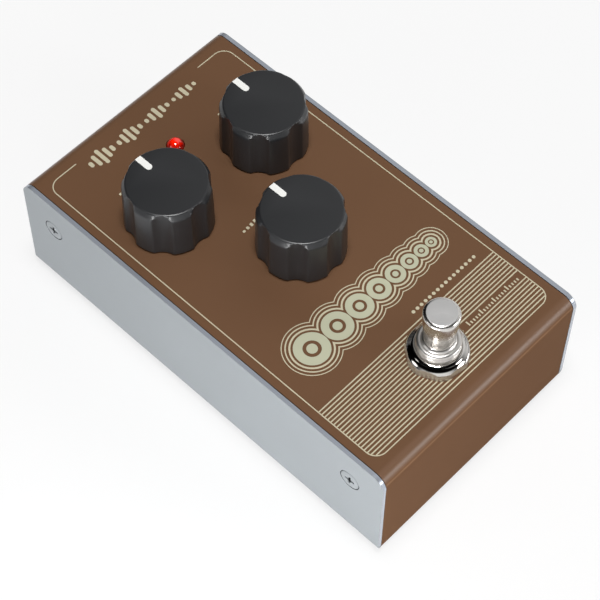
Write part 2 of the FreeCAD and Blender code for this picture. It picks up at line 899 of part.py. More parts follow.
# A chip with its feet flat on the underside of the board.
def chip(x, y, width, length, height):
    shoulder = board_bottom - height / 2
    body = block(x, y, width, length, board_bottom - height, board_bottom - chip_standoff)
    pitch = length / chip_legs
    for side in (-1, 1):
        for number in range(chip_legs):
            leg_x = x + side * (width + chip_leg_reach) / 2
            leg_y = y - length / 2 + (number + 0.5) * pitch
            leg = block(leg_x, leg_y, chip_leg_reach, chip_leg_width, shoulder, board_bottom)
            body = body.fuse(leg)
    return body.removeSplitter()


def delay_chips():
    chips = []
    for side in (-1, 1):
        chips.append(chip(side * delay_chip_x, mid_y + chip_front_row,
                          delay_chip_width, delay_chip_length, delay_chip_height))
    return Part.makeCompound(chips)


def amplifier_chips():
    places = [(step * small_chip_x, mid_y + chip_rear_row) for step in (-1, 0, 1)]
    places.append((0.0, mid_y + chip_front_row))
    return Part.makeCompound([
        chip(x, y, small_chip_width, small_chip_length, small_chip_height) for x, y in places])


def electrolytic_capacitors():
    groove_z = board_top + can_radius / 2
    top = board_top + can_height
    profile = [
        (0, board_top), (can_radius, board_top), (can_radius, groove_z - can_groove),
        (can_radius - can_groove, groove_z), (can_radius, groove_z + can_groove),
        (can_radius, top - can_groove), (can_radius - can_groove, top), (0, top)]
    cans = []
    for side in (-1, 1):
        for number in range(can_row_count):
            y = mid_y + can_first_row + number * can_row_pitch
            cans.append(turned(side * (board_half - can_from_edge), y, profile))
    return Part.makeCompound(cans)


def film_capacitors():
    boxes = []
    for side in (-1, 1):
        for number in range(film_row_count):
            y = mid_y + film_first_row + number * film_row_pitch
            boxes.append(block(side * film_x, y, film_width, film_length, board_top, board_top + film_height))
    return Part.makeCompound(boxes)


def resistors():
    bodies = []
    half = resistor_length / 2
    for row in range(resistor_rows):
        y = board_rear - resistor_from_rear - row * resistor_row_pitch
        for column in range(resistor_columns):
            for side in (-1, 1):
                x = side * (resistor_first_x + column * resistor_pitch_x)
                bodies.append(rod_x(y, board_top + resistor_radius, x - half, x + half, resistor_radius))
    return Part.makeCompound(bodies)


def trimmers():
    bodies = []
    y = mid_y + trimmer_row
    body_top = board_top + trimmer_height
    dial_top = body_top + trimmer_dial_height
    for step in (-1, 0, 1):
        x = step * trimmer_pitch
        body = block(x, y, trimmer_size, trimmer_size, board_top, body_top)
        dial = post(x, y, body_top, dial_top, trimmer_dial_radius)
        slot = block(x, y, trimmer_slot_length, trimmer_slot_width,
                     dial_top - trimmer_slot_depth, dial_top + 1)
        bodies.append(body.fuse(dial).cut(slot).removeSplitter())
    return Part.makeCompound(bodies)


def battery():
    body = block(battery_x, mid_y + battery_y, battery_length, battery_width, battery_bottom, battery_top)
    return round_edges(body, battery_round, lambda b: near(b.YMin, b.YMax) and near(b.ZMin, b.ZMax))


def stud_places():
    return [mid_y + battery_y + side * stud_pitch / 2 for side in (-1, 1)]


def battery_terminals():
    return Part.makeCompound([
        rod_x(y, battery_axis_z, battery_end_x, battery_end_x + stud_height, stud_radius)
        for y in stud_places()])


def battery_snap():
    start = battery_end_x + snap_gap
    middle = mid_y + battery_y
    cap = box(start, start + snap_height + stud_height, middle - snap_length / 2, middle + snap_length / 2,
              battery_axis_z - snap_width / 2, battery_axis_z + snap_width / 2)
    return cut_all(cap, [
        rod_x(y, battery_axis_z, start - 1, battery_end_x + stud_height, stud_radius) for y in stud_places()])


def battery_leads():
    x = battery_end_x + stud_height + snap_height / 2
    low = battery_axis_z + snap_width / 2
    middle = mid_y + battery_y
    return Part.makeCompound([
        post(x, middle + side * lead_pitch / 2, low, board_bottom, lead_radius) for side in (-1, 1)])


def battery_foam():
    return block(battery_x, mid_y + battery_y, battery_length, battery_width, floor_z, battery_bottom)


parts = {
    "top_cover": top_cover(),
    "base_chassis": base_chassis(),
    "side_screws": side_screws(),
    "screw_inserts": screw_inserts(),
    "rubber_feet": rubber_feet(),
    "pot_cases": pot_cases(),
    "pot_bushings": pot_bushings(),
    "pot_wafers": pot_wafers(),
    "pot_terminals": pot_terminals(),
    "pot_washers": pot_washers(),
    "pot_nuts": pot_nuts(),
    "footswitch_plunger": footswitch_plunger(),
    "footswitch_actuator": footswitch_actuator(),
    "footswitch_spring": footswitch_spring(),
    "footswitch_bushing": footswitch_bushing(),
    "footswitch_nut": footswitch_nut(),
    "footswitch_lock_washer": footswitch_lock_washer(),
    "footswitch_back_nut": footswitch_back_nut(),
    "footswitch_case": footswitch_case(),
    "footswitch_lugs": footswitch_lugs(),
    "switch_board": switch_board(),
    "ribbon_cable": ribbon_cable(),
    "ribbon_headers": ribbon_headers(),
    "input_jack_housing": jack_housing(jack_x),
    "input_jack_contacts": jack_contacts(jack_x),
    "output_jack_housing": jack_housing(-jack_x),
    "output_jack_contacts": jack_contacts(-jack_x),
    "jack_washers": jack_washers(),
    "jack_nuts": jack_nuts(),
    "power_jack_housing": power_jack_housing(),
    "power_jack_pin": power_jack_pin(),
    "power_jack_contacts": power_jack_contacts(),
    "main_board": main_board(),
    "led_lens": led_lens(),
    "led_leads": led_leads(),
    "led_spacer": led_spacer(),
    "delay_chips": delay_chips(),
    "amplifier_chips": amplifier_chips(),
    "electrolytic_capacitors": electrolytic_capacitors(),
    "film_capacitors": film_capacitors(),
    "resistors": resistors(),
    "trimmers": trimmers(),
    "battery": battery(),
    "battery_terminals": battery_terminals(),
    "battery_snap": battery_snap(),
    "battery_leads": battery_leads(),
    "battery_foam": battery_foam(),
}
for name, (x, y) in controls.items():
    parts[name + "_knob"] = knob_at(x, y)
    parts[name + "_pointer"] = pointer_at(x, y)
    parts[name + "_shaft"] = pot_shaft_at(x, y)
    parts[name + "_wiper"] = wiper_at(x, y)

os.makedirs("parts", exist_ok=True)
for name, shape in parts.items():
    shape.exportStep("parts/" + name + ".step")
    print(name, len(shape.Solids), shape.isValid(), round(shape.Volume, 1))
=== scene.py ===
import json
import math
import bmesh
import bpy
from mathutils import Matrix, Vector


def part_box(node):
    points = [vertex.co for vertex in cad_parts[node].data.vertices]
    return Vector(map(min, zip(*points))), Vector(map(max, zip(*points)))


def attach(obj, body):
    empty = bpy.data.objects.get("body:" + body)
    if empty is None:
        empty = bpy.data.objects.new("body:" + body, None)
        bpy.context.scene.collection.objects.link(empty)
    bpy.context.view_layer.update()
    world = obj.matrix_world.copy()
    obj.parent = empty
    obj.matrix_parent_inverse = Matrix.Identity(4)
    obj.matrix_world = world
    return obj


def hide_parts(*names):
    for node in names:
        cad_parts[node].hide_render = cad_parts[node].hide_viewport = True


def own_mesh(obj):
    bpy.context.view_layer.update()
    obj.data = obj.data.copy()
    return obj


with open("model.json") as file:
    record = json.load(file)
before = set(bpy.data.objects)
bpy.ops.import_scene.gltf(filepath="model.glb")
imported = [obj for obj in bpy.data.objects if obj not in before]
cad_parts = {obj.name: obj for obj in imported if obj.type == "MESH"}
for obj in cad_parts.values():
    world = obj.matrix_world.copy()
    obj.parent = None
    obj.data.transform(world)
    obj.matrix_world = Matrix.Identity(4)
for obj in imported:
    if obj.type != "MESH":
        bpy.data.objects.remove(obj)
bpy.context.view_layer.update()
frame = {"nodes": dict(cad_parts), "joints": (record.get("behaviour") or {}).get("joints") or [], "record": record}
print("frame loaded")

# Sizes are in millimetres and turned to metres where a shape is made, in the CAD's own frame.
mm = 0.001
enclosure = "enclosure"
controlNames = ("time", "repeats", "mix")
jointPlaces = {joint["name"]: Vector(joint["pos_m"]) / mm for joint in frame["joints"] if "pos_m" in joint}


def cadBounds(node):  # a CAD node's box in millimetres
    low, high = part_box(node)
    return low / mm, high / mm


coverLow, coverHigh = cadBounds("top_cover")
chassisLow, chassisHigh = cadBounds("base_chassis")
panelTop = coverHigh.z
caseMiddle = (coverLow.y + coverHigh.y) / 2
switchLow, switchHigh = cadBounds("footswitch_plunger")
switchY = (switchLow.y + switchHigh.y) / 2
lampLow, lampHigh = cadBounds("led_lens")
lampY = (lampLow.y + lampHigh.y) / 2
jackLow, jackHigh = cadBounds("input_jack_housing")
jackX = (jackLow.x + jackHigh.x) / 2
jackZ = (jackLow.z + jackHigh.z) / 2


# Shader maths

class Wire:  # one node's output, ready for sums
    def __init__(self, tree, socket=None):
        self.tree = tree
        self.socket = socket

    def node(self, kind, settings=None, sockets=None, output=0):
        made = self.tree.nodes.new("ShaderNode" + kind)
        for name, value in (settings or {}).items():
            if name == "stops":
                setStops(made.color_ramp, value)
            else:
                setattr(made, name, value)
        for name, value in (sockets or {}).items():
            if isinstance(value, Wire):
                self.tree.links.new(value.socket, made.inputs[name])
            else:
                made.inputs[name].default_value = value
        return Wire(self.tree, made.outputs[output] if made.outputs else None)

    def calc(self, operation, first, second=0.0):
        return self.node("Math", {"operation": operation}, {0: first, 1: second})

    def __add__(self, other):
        return self.calc("ADD", self, other)

    def __radd__(self, other):
        return self.calc("ADD", other, self)

    def __sub__(self, other):
        return self.calc("SUBTRACT", self, other)

    def __rsub__(self, other):
        return self.calc("SUBTRACT", other, self)

    def __mul__(self, other):
        return self.calc("MULTIPLY", self, other)

    def __rmul__(self, other):
        return self.calc("MULTIPLY", other, self)

    def __truediv__(self, other):
        return self.calc("DIVIDE", self, other)

    def __pow__(self, other):
        return self.calc("POWER", self, other)

    def __gt__(self, other):
        return self.calc("GREATER_THAN", self, other)

    def __lt__(self, other):
        return self.calc("LESS_THAN", self, other)

    def __abs__(self):
        return self.calc("ABSOLUTE", self)

    def __mod__(self, other):
        return self.calc("FLOORED_MODULO", self, other)


def setStops(ramp, stops):  # stops are (place, grey) pairs
    while len(ramp.elements) > 1:
        ramp.elements.remove(ramp.elements[-1])
    for number, (place, grey) in enumerate(stops):
        stop = ramp.elements[0] if number == 0 else ramp.elements.new(place)
        stop.position = place
        stop.color = (grey, grey, grey, 1)


def color(red, green, blue):  # screen values, 0 to 255, as scene colour
    def toScene(value):
        share = value / 255
        return share / 12.92 if share <= 0.04045 else ((share + 0.055) / 1.055) ** 2.4
    return toScene(red), toScene(green), toScene(blue), 1.0


def axes(place):  # the X, Y and Z of a place
    made = place.node("SeparateXYZ", None, {0: place}).socket.node
    return [Wire(place.tree, socket) for socket in made.outputs]


def startMaterial(name):
    made = bpy.data.materials.new(name)
    made.use_nodes = True
    made.node_tree.nodes.clear()
    start = Wire(made.node_tree)
    place = start.node("TexCoord", output=3)
    return made, start, place


def noise(place, size, detail=2.0, roughness=0.5):  # size is a blotch's size in millimetres
    return place.node("TexNoise", None, {"Vector": place, "Scale": 1 / (size * mm), "Detail": detail,
                                         "Roughness": roughness})


def mix(factor, first, second):
    return factor.node("Mix", {"data_type": "RGBA"}, {0: factor, 6: first, 7: second}, output=2)


def tones(factor, values, name):  # a finish's two close tones, the second named Shade
    return mix(factor, color(*values[name]), color(*values[name + "Shade"]))


def spread(value, low, high):  # moves 0..1 to low..high
    return value * (high - low) + low


def smooth(value, low, high):  # 0 below low, 1 above high, eased between
    return value.node("MapRange", {"interpolation_type": "SMOOTHSTEP"}, {0: value, 1: low, 2: high})


def bump(height, depth):  # depth in millimetres
    return height.node("Bump", None, {"Height": height, "Distance": depth * mm, "Strength": 1.0})


def finishMaterial(made, start, sockets):
    surface = start.node("BsdfPrincipled", None, sockets)
    start.node("OutputMaterial", None, {"Surface": surface})
    return made


# One finish for many: two close colours in soft blotches, a fine grain, and wear that shifts the gloss.
def grainedFinish(name, first, second, rough, blotch=9.0, grain=0.5, depth=0.01, metallic=0.0, fixed=None):
    made, start, place = startMaterial(name)
    cloud = noise(place, blotch, 3.0)
    fine = noise(place, grain, 2.0, 0.6)
    sockets = {
        "Base Color": mix(cloud, color(*first), color(*second)),
        "Roughness": spread(cloud * 0.6 + fine * 0.4, *rough),
        "Metallic": metallic,
        "Normal": bump(fine, depth),
    }
    sockets.update(fixed or {})
    return finishMaterial(made, start, sockets)


coverFinish = {
    "paint": (112, 82, 60), "paintShade": (107, 78, 57), "blotch": 26.0,
    "peel": 0.9, "peelDepth": 0.005, "rough": (0.5, 0.6), "gloss": 0.0,
    "polish": ((0.45, 0.05), (0.62, 1.0), (0.92, 1.0), (1.0, 0.15)), "polishRough": 0.34,
    # the next two: where the painted highlight line lies on the bend, and its paler tone
    "thin": ((0.22, 0.0), (0.34, 1.0), (0.46, 0.0)), "highlightTone": (132, 100, 76),
}


def coverPaint():  # satin stove enamel with a faint orange peel, glossier round the bends, with a painted highlight line along them
    values = coverFinish
    made, start, place = startMaterial("coverPaint")
    cloud = noise(place, values["blotch"], 3.0)
    peel = noise(place, values["peel"], 1.0)
    dust = noise(place, 0.18, 2.0, 0.7)
    depth = caseSizes["bend"]
    height = (axes(place)[2] / mm - (panelTop - depth)) / depth
    # a paler band low on each bend: a painted highlight line
    thin = place.node("ValToRGB", {"stops": values["thin"]}, {0: height})
    paint = tones(cloud, values, "paint")
    return finishMaterial(made, start, {
        "Base Color": mix(thin, paint, color(*values["highlightTone"])),
        "Roughness": spread(cloud * 0.7 + dust * 0.3, *values["rough"]),
        "Specular IOR Level": values["gloss"],
        "Coat Weight": place.node("ValToRGB", {"stops": values["polish"]}, {0: height}),
        "Coat Roughness": values["polishRough"],
        "Normal": bump(peel + dust * 0.2, values["peelDepth"]),
    })


plateFinish = {
    "metal": (154, 160, 164), "metalShade": (148, 153, 157), "blotch": 30.0,
    "grain": 0.12, "grainDepth": 0.003, "rolling": 0.35, "streak": 0.05, "rough": (0.38, 0.48),
    # the last two on this line: the painted shade in the countersinks, its dark tone and where it starts inward
    "metallic": 0.5, "sunk": (38, 40, 43), "countersinkShadeFrom": 36.96,
    "cut": (176, 182, 192), "cutFrom": 36.88, "cutAbove": 1.7, "cutRough": 0.26, "cutMetallic": 0.55,
}


def plateMetal():  # matt silver sheet, rolled along Y, with brighter cut edges and painted shade in its countersinks
    values = plateFinish
    made, start, place = startMaterial("plateMetal")
    cloud = noise(place, values["blotch"], 2.0)
    fine = noise(place, values["grain"], 2.0, 0.7)
    stretched = place.node("Mapping", None, {"Vector": place, "Scale": (1.0, values["streak"], 1.0)})
    rolled = noise(stretched, values["rolling"], 3.0, 0.6)
    x, y, height = axes(place)
    across = abs(x)
    cut = (across < values["cutFrom"] * mm) * (height > (chassisLow.z + values["cutAbove"]) * mm)
    # painted shade: a dark ring round each screw hole, inside the sheet's face
    _, screwY, screwZ = screwPlaces()[0]
    away = abs(y - caseMiddle * mm) - (caseMiddle - screwY) * mm
    up = height - screwZ * mm
    ring = (away * away + up * up) ** 0.5 < caseSizes["screwHole"] * mm
    sunk = ring * (across < values["countersinkShadeFrom"] * mm)
    bare = mix(cut, tones(cloud, values, "metal"), color(*values["cut"]))
    worn = spread(rolled * 0.5 + fine * 0.5, *values["rough"])
    return finishMaterial(made, start, {
        "Base Color": mix(sunk, bare, color(*values["sunk"])),
        "Metallic": spread(cut, values["metallic"], values["cutMetallic"]),
        "Roughness": worn * (1 - cut) + cut * values["cutRough"],
        "Normal": bump(fine * 0.7 + rolled * 0.3, values["grainDepth"]),
    })


screwFinish = {
    # the dark tone and its depth span make the painted shade in the cross and under the rim
    "metal": (158, 163, 167), "metalShade": (150, 155, 159), "recess": (34, 35, 37), "rough": (0.34, 0.42),
    "recessShadeDepth": (0.12, 0.3), "metallic": 0.6, "grain": 0.2, "grainDepth": 0.002,
}


def screwMetal():  # plated steel, with painted shade down in its cross and under its rim
    values = screwFinish
    made, start, place = startMaterial("screwSteel")
    cloud = noise(place, 3.0)
    inward = chassisHigh.x * mm - abs(axes(place)[0])
    # painted shade: darker the deeper a point lies inside the side's face
    deep = smooth(inward / mm, *values["recessShadeDepth"])
    return finishMaterial(made, start, {
        "Base Color": mix(deep, tones(cloud, values, "metal"), color(*values["recess"])),
        "Metallic": values["metallic"],
        "Roughness": spread(cloud, *values["rough"]),
        "Normal": bump(noise(place, values["grain"]), values["grainDepth"]),
    })


knobFinish = {
    "plastic": (35, 36, 38), "plasticShade": (31, 32, 34), "blotch": 7.0, "rough": (0.30, 0.38),
    "grain": 0.22, "grainDepth": 0.002,
    "edge": ((0.5, 0.0), (0.56, 1.0)), "edgeTone": (50, 51, 53), "wear": 0.35,
}


def knobPlastic():  # satin charcoal moulding, a little paler where fingers polish its edges
    values = knobFinish
    made, start, place = startMaterial("knobPlastic")
    cloud = noise(place, values["blotch"], 3.0)
    fine = noise(place, values["grain"], 2.0, 0.65)
    pointiness = place.node("NewGeometry", output=7)
    worn = place.node("ValToRGB", {"stops": values["edge"]}, {0: pointiness})
    worn = place.node("RGBToBW", None, {0: worn})
    return finishMaterial(made, start, {
        "Base Color": mix(worn * values["wear"], tones(cloud, values, "plastic"), color(*values["edgeTone"])),
        "Roughness": spread(cloud * 0.5 + fine * 0.5, *values["rough"]),
        "Normal": bump(fine, values["grainDepth"]),
    })


chromeFinish = {
    "metal": (222, 219, 215), "metalShade": (210, 207, 203), "blotch": 1.4, "rough": (0.07, 0.11),
    "satinRough": (0.2, 0.26), "satinReach": 6.1, "bushingRough": (0.28, 0.36), "bushingTop": 8.2,
    "sideRough": (0.36, 0.42), "sideSlope": 0.15, "spunRough": (0.38, 0.44), "spunMetal": (200, 199, 198),
    "spunGrain": 0.3, "fan": 5.0, "fanDepth": 0.022,
}


def chromeMetal():  # polished nut, satin stem and bushing; the plunger's flat top is spun
    values = chromeFinish
    made, start, place = startMaterial("footswitchChrome")
    x, y, z = axes(place)
    away = y - switchY * mm
    radius = (x * x + away * away) ** 0.5
    onTop = z > (switchHigh.z - 0.02) * mm
    inside = (radius < values["satinReach"] * mm) * (1 - onTop)
    upright = axes(place.node("NewGeometry", output=3))[2]
    onSide = (upright < values["sideSlope"]) * (1 - inside)
    low = z < (panelTop + values["bushingTop"]) * mm
    onBushing = inside * low * (radius > (switchSizes["stem"] + 0.03) * mm)
    turned = away.calc("ARCTAN2", away, x) * mm
    fan = noise(turned, 1 / values["fan"], 3.0, 0.7)
    haze = noise(place, values["blotch"], 3.0, 0.6)
    polished = spread(haze, *values["rough"]) * (1 - onTop - inside - onSide)
    stem = spread(haze, *values["satinRough"]) * (1 - onBushing)
    satin = stem + spread(haze, *values["bushingRough"]) * onBushing
    spun = spread(noise(place, values["spunGrain"], 2.0), *values["spunRough"])
    side = spread(haze, *values["sideRough"])
    return finishMaterial(made, start, {
        "Base Color": mix(onTop, tones(haze, values, "metal"), color(*values["spunMetal"])),
        "Metallic": 1.0,
        "Roughness": polished + satin * inside + spun * onTop + side * onSide,
        "Normal": bump(fan * onTop, values["fanDepth"]),
    })


lampFinish = {
    "lens": (214, 14, 6), "deep": (110, 2, 2), "glow": (255, 38, 6), "dark": (80, 0, 0), "glowStrength": 0.75,
    "rim": ((0.3, 0.0), (0.85, 1.0)), "facet": 0.8, "rimShare": 0.8, "facetShare": 0.35,
    "rough": (0.05, 0.12), "coatRough": 0.03,
}


def lampPlastic():  # clear red epoxy: bright over its core, dark round its foot
    values = lampFinish
    made, start, place = startMaterial("ledRed")
    x, y, _ = axes(place)
    y = y - lampY * mm
    away = (x * x + y * y) ** 0.5 / (lampSizes["radius"] * mm)
    scale = 1 / (values["facet"] * mm)
    cells = place.node("TexVoronoi", {"feature": "SMOOTH_F1"}, {"Vector": place, "Scale": scale})
    depth = away * values["rimShare"] + cells * values["facetShare"]
    rim = place.node("ValToRGB", {"stops": values["rim"]}, {0: depth})
    return finishMaterial(made, start, {
        "Base Color": mix(rim, color(*values["lens"]), color(*values["deep"])),
        "Emission Color": mix(rim, color(*values["glow"]), color(*values["dark"])),
        "Emission Strength": values["glowStrength"],
        "Roughness": spread(noise(place, 1.2, 2.0), *values["rough"]),
        "Coat Weight": 1.0,
        "Coat Roughness": values["coatRough"],
    })


boardFinish = {
    "mask": (10, 74, 40), "maskShade": (8, 62, 34), "blotch": 5.0, "track": (26, 110, 62), "cell": 2.6,
    "trackWidth": 0.07, "trackRise": 0.03, "rough": (0.22, 0.34), "gloss": 0.3,
}


def boardMask():  # solder mask over copper tracks
    values = boardFinish
    made, start, place = startMaterial("boardGreen")
    scale = 1 / (values["cell"] * mm)
    cells = place.node("TexVoronoi", {"feature": "DISTANCE_TO_EDGE"}, {"Vector": place, "Scale": scale})
    tracks = cells < values["trackWidth"]
    cloud = noise(place, values["blotch"], 2.0)
    return finishMaterial(made, start, {
        "Base Color": mix(tracks, tones(cloud, values, "mask"), color(*values["track"])),
        "Roughness": spread(cloud, *values["rough"]),
        "Normal": bump(tracks, values["trackRise"]),
        "Coat Weight": values["gloss"],
    })


cableFinish = {
    "vinyl": (150, 150, 152), "marked": (170, 40, 36), "markedTo": -3.6, "pitch": 1.27, "ridge": 0.2,
    "rough": (0.45, 0.6),
}


def cableGrey():  # flat cable: ridges along its wires, one red edge
    values = cableFinish
    made, start, place = startMaterial("cableGrey")
    x = axes(place)[0]
    ridge = x.calc("SINE", x * (2 * math.pi / (values["pitch"] * mm)))
    return finishMaterial(made, start, {
        "Base Color": mix(x < values["markedTo"] * mm, color(*values["vinyl"]), color(*values["marked"])),
        "Roughness": spread(noise(place, 0.8), *values["rough"]),
        "Normal": bump(ridge, values["ridge"]),
    })


resistorFinish = {
    "body": (120, 176, 204), "bodyShade": (108, 164, 194), "rough": (0.25, 0.4), "dimple": 0.02,
    "band": (120, 60, 24), "pitch": 3.5, "bandHalf": 0.25,
}


def resistorLacquer():  # blue bodies with colour bands across X
    values = resistorFinish
    made, start, place = startMaterial("resistorBody")
    band = abs((axes(place)[0] / mm) % values["pitch"] - values["pitch"] / 2) < values["bandHalf"]
    cloud = noise(place, 1.5)
    return finishMaterial(made, start, {
        "Base Color": mix(band, tones(cloud, values, "body"), color(*values["band"])),
        "Roughness": spread(cloud, *values["rough"]),
        "Normal": bump(cloud, values["dimple"]),
    })


batteryFinish = {
    "wrap": (34, 34, 37), "band": (170, 112, 60), "bandFrom": 10.0, "rough": (0.25, 0.4), "metallic": 0.4,
    "dent": 0.02,
}


def batteryWrap():  # lacquered can with one plain copper-coloured band
    values = batteryFinish
    made, start, place = startMaterial("batteryCase")
    band = axes(place)[0] > values["bandFrom"] * mm
    cloud = noise(place, 6.0, 3.0)
    return finishMaterial(made, start, {
        "Base Color": mix(band, color(*values["wrap"]), color(*values["band"])),
        "Roughness": spread(cloud, *values["rough"]),
        "Metallic": values["metallic"],
        "Normal": bump(cloud, values["dent"]),
    })


plainFinishes = {  # slot: two tones, roughness, blotch size, and grain size and depth where they differ
    "insert_steel": ((170, 168, 160), (150, 150, 144), (0.3, 0.5), 3.0),
    "foot_rubber": ((38, 38, 39), (30, 30, 31), (0.7, 0.9), 3.0, 0.3, 0.03),
    "pointer_white": ((248, 248, 244), (240, 240, 236), (0.35, 0.5), 2.0, 0.2, 0.004),
    "shaft_metal": ((186, 186, 188), (168, 168, 170), (0.25, 0.4), 2.0),
    "wiper_plastic": ((52, 52, 54), (44, 44, 46), (0.4, 0.6), 2.0),
    "can_metal": ((180, 178, 170), (160, 160, 154), (0.3, 0.5), 4.0),
    "bushing_metal": ((172, 172, 172), (150, 150, 152), (0.35, 0.5), 2.0),
    "wafer_board": ((140, 96, 48), (122, 82, 40), (0.5, 0.7), 2.0),
    "tin_contact": ((196, 196, 192), (180, 180, 176), (0.25, 0.4), 1.5),
    "nut_steel": ((184, 184, 184), (168, 168, 168), (0.2, 0.35), 2.0),
    "switch_plastic": ((30, 66, 132), (26, 58, 118), (0.35, 0.5), 4.0),
    "switch_fittings": ((214, 208, 190), (202, 196, 178), (0.4, 0.6), 2.0),
    "spring_steel": ((170, 172, 176), (156, 158, 162), (0.2, 0.35), 1.0),
    "header_plastic": ((224, 220, 206), (212, 208, 194), (0.4, 0.55), 2.0),
    "jack_plastic": ((26, 26, 27), (20, 20, 21), (0.4, 0.55), 4.0, 0.4, 0.02),
    "jack_nickel": ((206, 202, 194), (190, 186, 178), (0.12, 0.24), 3.0, 0.3, 0.004),
    "chip_black": ((32, 32, 33), (26, 26, 27), (0.5, 0.7), 2.0, 0.2, 0.02),
    "capacitor_sleeve": ((28, 30, 40), (22, 24, 34), (0.25, 0.4), 3.0),
    "film_box": ((150, 50, 36), (136, 44, 32), (0.25, 0.4), 3.0),
    "trimmer_body": ((44, 92, 170), (38, 82, 154), (0.35, 0.5), 2.0),
    "snap_plastic": ((30, 30, 31), (24, 24, 25), (0.5, 0.7), 3.0),
    "lead_vinyl": ((150, 24, 20), (136, 20, 18), (0.4, 0.55), 2.0),
    "foam_grey": ((70, 70, 72), (56, 56, 58), (0.85, 0.95), 1.0, 0.5, 0.2),
}
metalSlots = ("insert_steel", "shaft_metal", "can_metal", "bushing_metal", "tin_contact", "nut_steel",
              "spring_steel", "jack_nickel")


def makeFinishes():  # slot: material, the plain ones named after their slots
    made = {
        "cover_paint": coverPaint(), "chassis_metal": plateMetal(), "screw_steel": screwMetal(),
        "knob_plastic": knobPlastic(), "footswitch_chrome": chromeMetal(), "led_red": lampPlastic(),
        "board_green": boardMask(), "cable_grey": cableGrey(), "resistor_body": resistorLacquer(),
        "battery_case": batteryWrap(),
    }
    for slot, look in plainFinishes.items():
        first, *rest = slot.split("_")
        name = first + "".join(word.capitalize() for word in rest)
        made[slot] = grainedFinish(name, *look, metallic=1.0 if slot in metalSlots else 0.0)
    return made


inkFinish = {
    "cream": ((203, 195, 168), (198, 190, 163)), "sage": ((192, 192, 167), (187, 188, 162)),
    "grain": ((0.42, 0.55), 4.0, 0.25, 0.004), "gloss": 0.1,
}


def ink(tone):  # flat screen-printing ink
    return grainedFinish(tone + "Ink", *inkFinish[tone], *inkFinish["grain"],
                         fixed={"Specular IOR Level": inkFinish["gloss"]})


caseSizes = {
    "bend": 3.8, "wall": 1.5, "bendSegments": 16, "flange": 17.0, "coverEdge": 0.22,
    "controlHole": 3.65, "switchHole": 6.05, "lampHole": 2.55, "jackHole": 4.75, "powerHole": 5.0,
    "holeReach": 4,
    "sheet": 1.2, "skirtSlot": 1.7, "lip": 6.0, "chassisBend": 1.6, "plateEdge": 0.32,
    "screwHole": 3.24, "screwFromEnd": 10.84, "screwBelowTop": 11.6,
}
lampSizes = {"radius": 2.5, "flange": 2.9, "flangeHeight": 1.0}
switchSizes = {
    "head": 4.86, "edge": 1.1, "top": 19.4, "stem": 4.05, "straight": 10.7, "flare": 0.6, "flareFrom": 14.2,
    "stemLow": 36.8, "rod": 2.0,
    "bushing": 5.9, "bushingTop": 7.2, "lip": 4.72, "lipRise": 0.55, "collar": 0.7, "plate": 1.0,
    "plateHole": 2.4, "threadPitch": 0.5, "threadDepth": 0.12, "threads": 3,
    "nutAcross": 15.8, "nutRadius": 8.4, "nutWall": 2.35, "nutTop": 4.2, "nutShoulder": 7.1, "nutDrop": 0.45,
    "nutTurn": 53.0, "nutGap": 0.03, "nutEdge": 0.12,
}


def screwPlaces():  # (side, y, z) of each case screw
    values = caseSizes
    height = panelTop - values["screwBelowTop"]
    rows = (coverLow.y + values["screwFromEnd"], coverHigh.y - values["screwFromEnd"])
    return [(side, y, height) for side in (-1, 1) for y in rows]


finishes = makeFinishes()
creamInk = ink("cream")
sageInk = ink("sage")
print("finishes made")


# Mesh helpers

def moveBy(shape, x, y, z):
    bmesh.ops.translate(shape, verts=shape.verts, vec=(x * mm, y * mm, z * mm))
    return shape


def turnBy(shape, degrees, axis):  # about the origin
    bmesh.ops.rotate(shape, verts=shape.verts, matrix=Matrix.Rotation(math.radians(degrees), 3, axis))
    return shape


def solidBox(low, high):
    low = Vector(low) * mm
    high = Vector(high) * mm
    shape = bmesh.new()
    place = Matrix.Translation((low + high) / 2) @ Matrix.Diagonal((*(high - low), 1.0))
    bmesh.ops.create_cube(shape, size=1.0, matrix=place)
    return shape


def rod(radius, start, length, center=(0, 0), axis="Z", sides=64, endRadius=None):
    shape = bmesh.new()
    endRadius = radius if endRadius is None else endRadius
    bmesh.ops.create_cone(shape, cap_ends=True, segments=sides, radius1=radius * mm, radius2=endRadius * mm,
                          depth=length * mm, matrix=Matrix.Translation((0, 0, (start + length / 2) * mm)))
    if axis == "Y":  # center is then (x, z)
        return moveBy(turnBy(shape, -90, "X"), center[0], 0, center[1])
    return moveBy(shape, center[0], center[1], 0)


def lathe(profile, center=(0, 0), steps=96, closed=False):  # profile is (radius, height) pairs
    shape = bmesh.new()
    ring = [shape.verts.new((radius * mm, 0, height * mm)) for radius, height in profile]
    pairs = list(zip(ring, ring[1:]))
    if closed:
        pairs.append((ring[-1], ring[0]))
    lines = [shape.edges.new(pair) for pair in pairs]
    bmesh.ops.spin(shape, geom=ring + lines, cent=(0, 0, 0), axis=(0, 0, 1), dvec=(0, 0, 0),
                   angle=2 * math.pi, steps=steps, use_merge=True, use_duplicate=False)
    bmesh.ops.remove_doubles(shape, verts=shape.verts, dist=1e-7)
    bmesh.ops.recalc_face_normals(shape, faces=shape.faces)
    return moveBy(shape, center[0], center[1], 0)


def arc(center, radius, start, end, points):  # (radius, height) pairs along an arc, in degrees
    places = []
    for number in range(points + 1):
        angle = math.radians(start + (end - start) * number / points)
        places.append((center[0] + radius * math.cos(angle), center[1] + radius * math.sin(angle)))
    return places


def bend(start, corner, end, steps):  # points of a soft corner between two lines
    points = []
    for number in range(steps + 1):
        t = number / steps
        points.append(tuple((1 - t) ** 2 * a + 2 * t * (1 - t) * b + t * t * c
                            for a, b, c in zip(start, corner, end)))
    return points


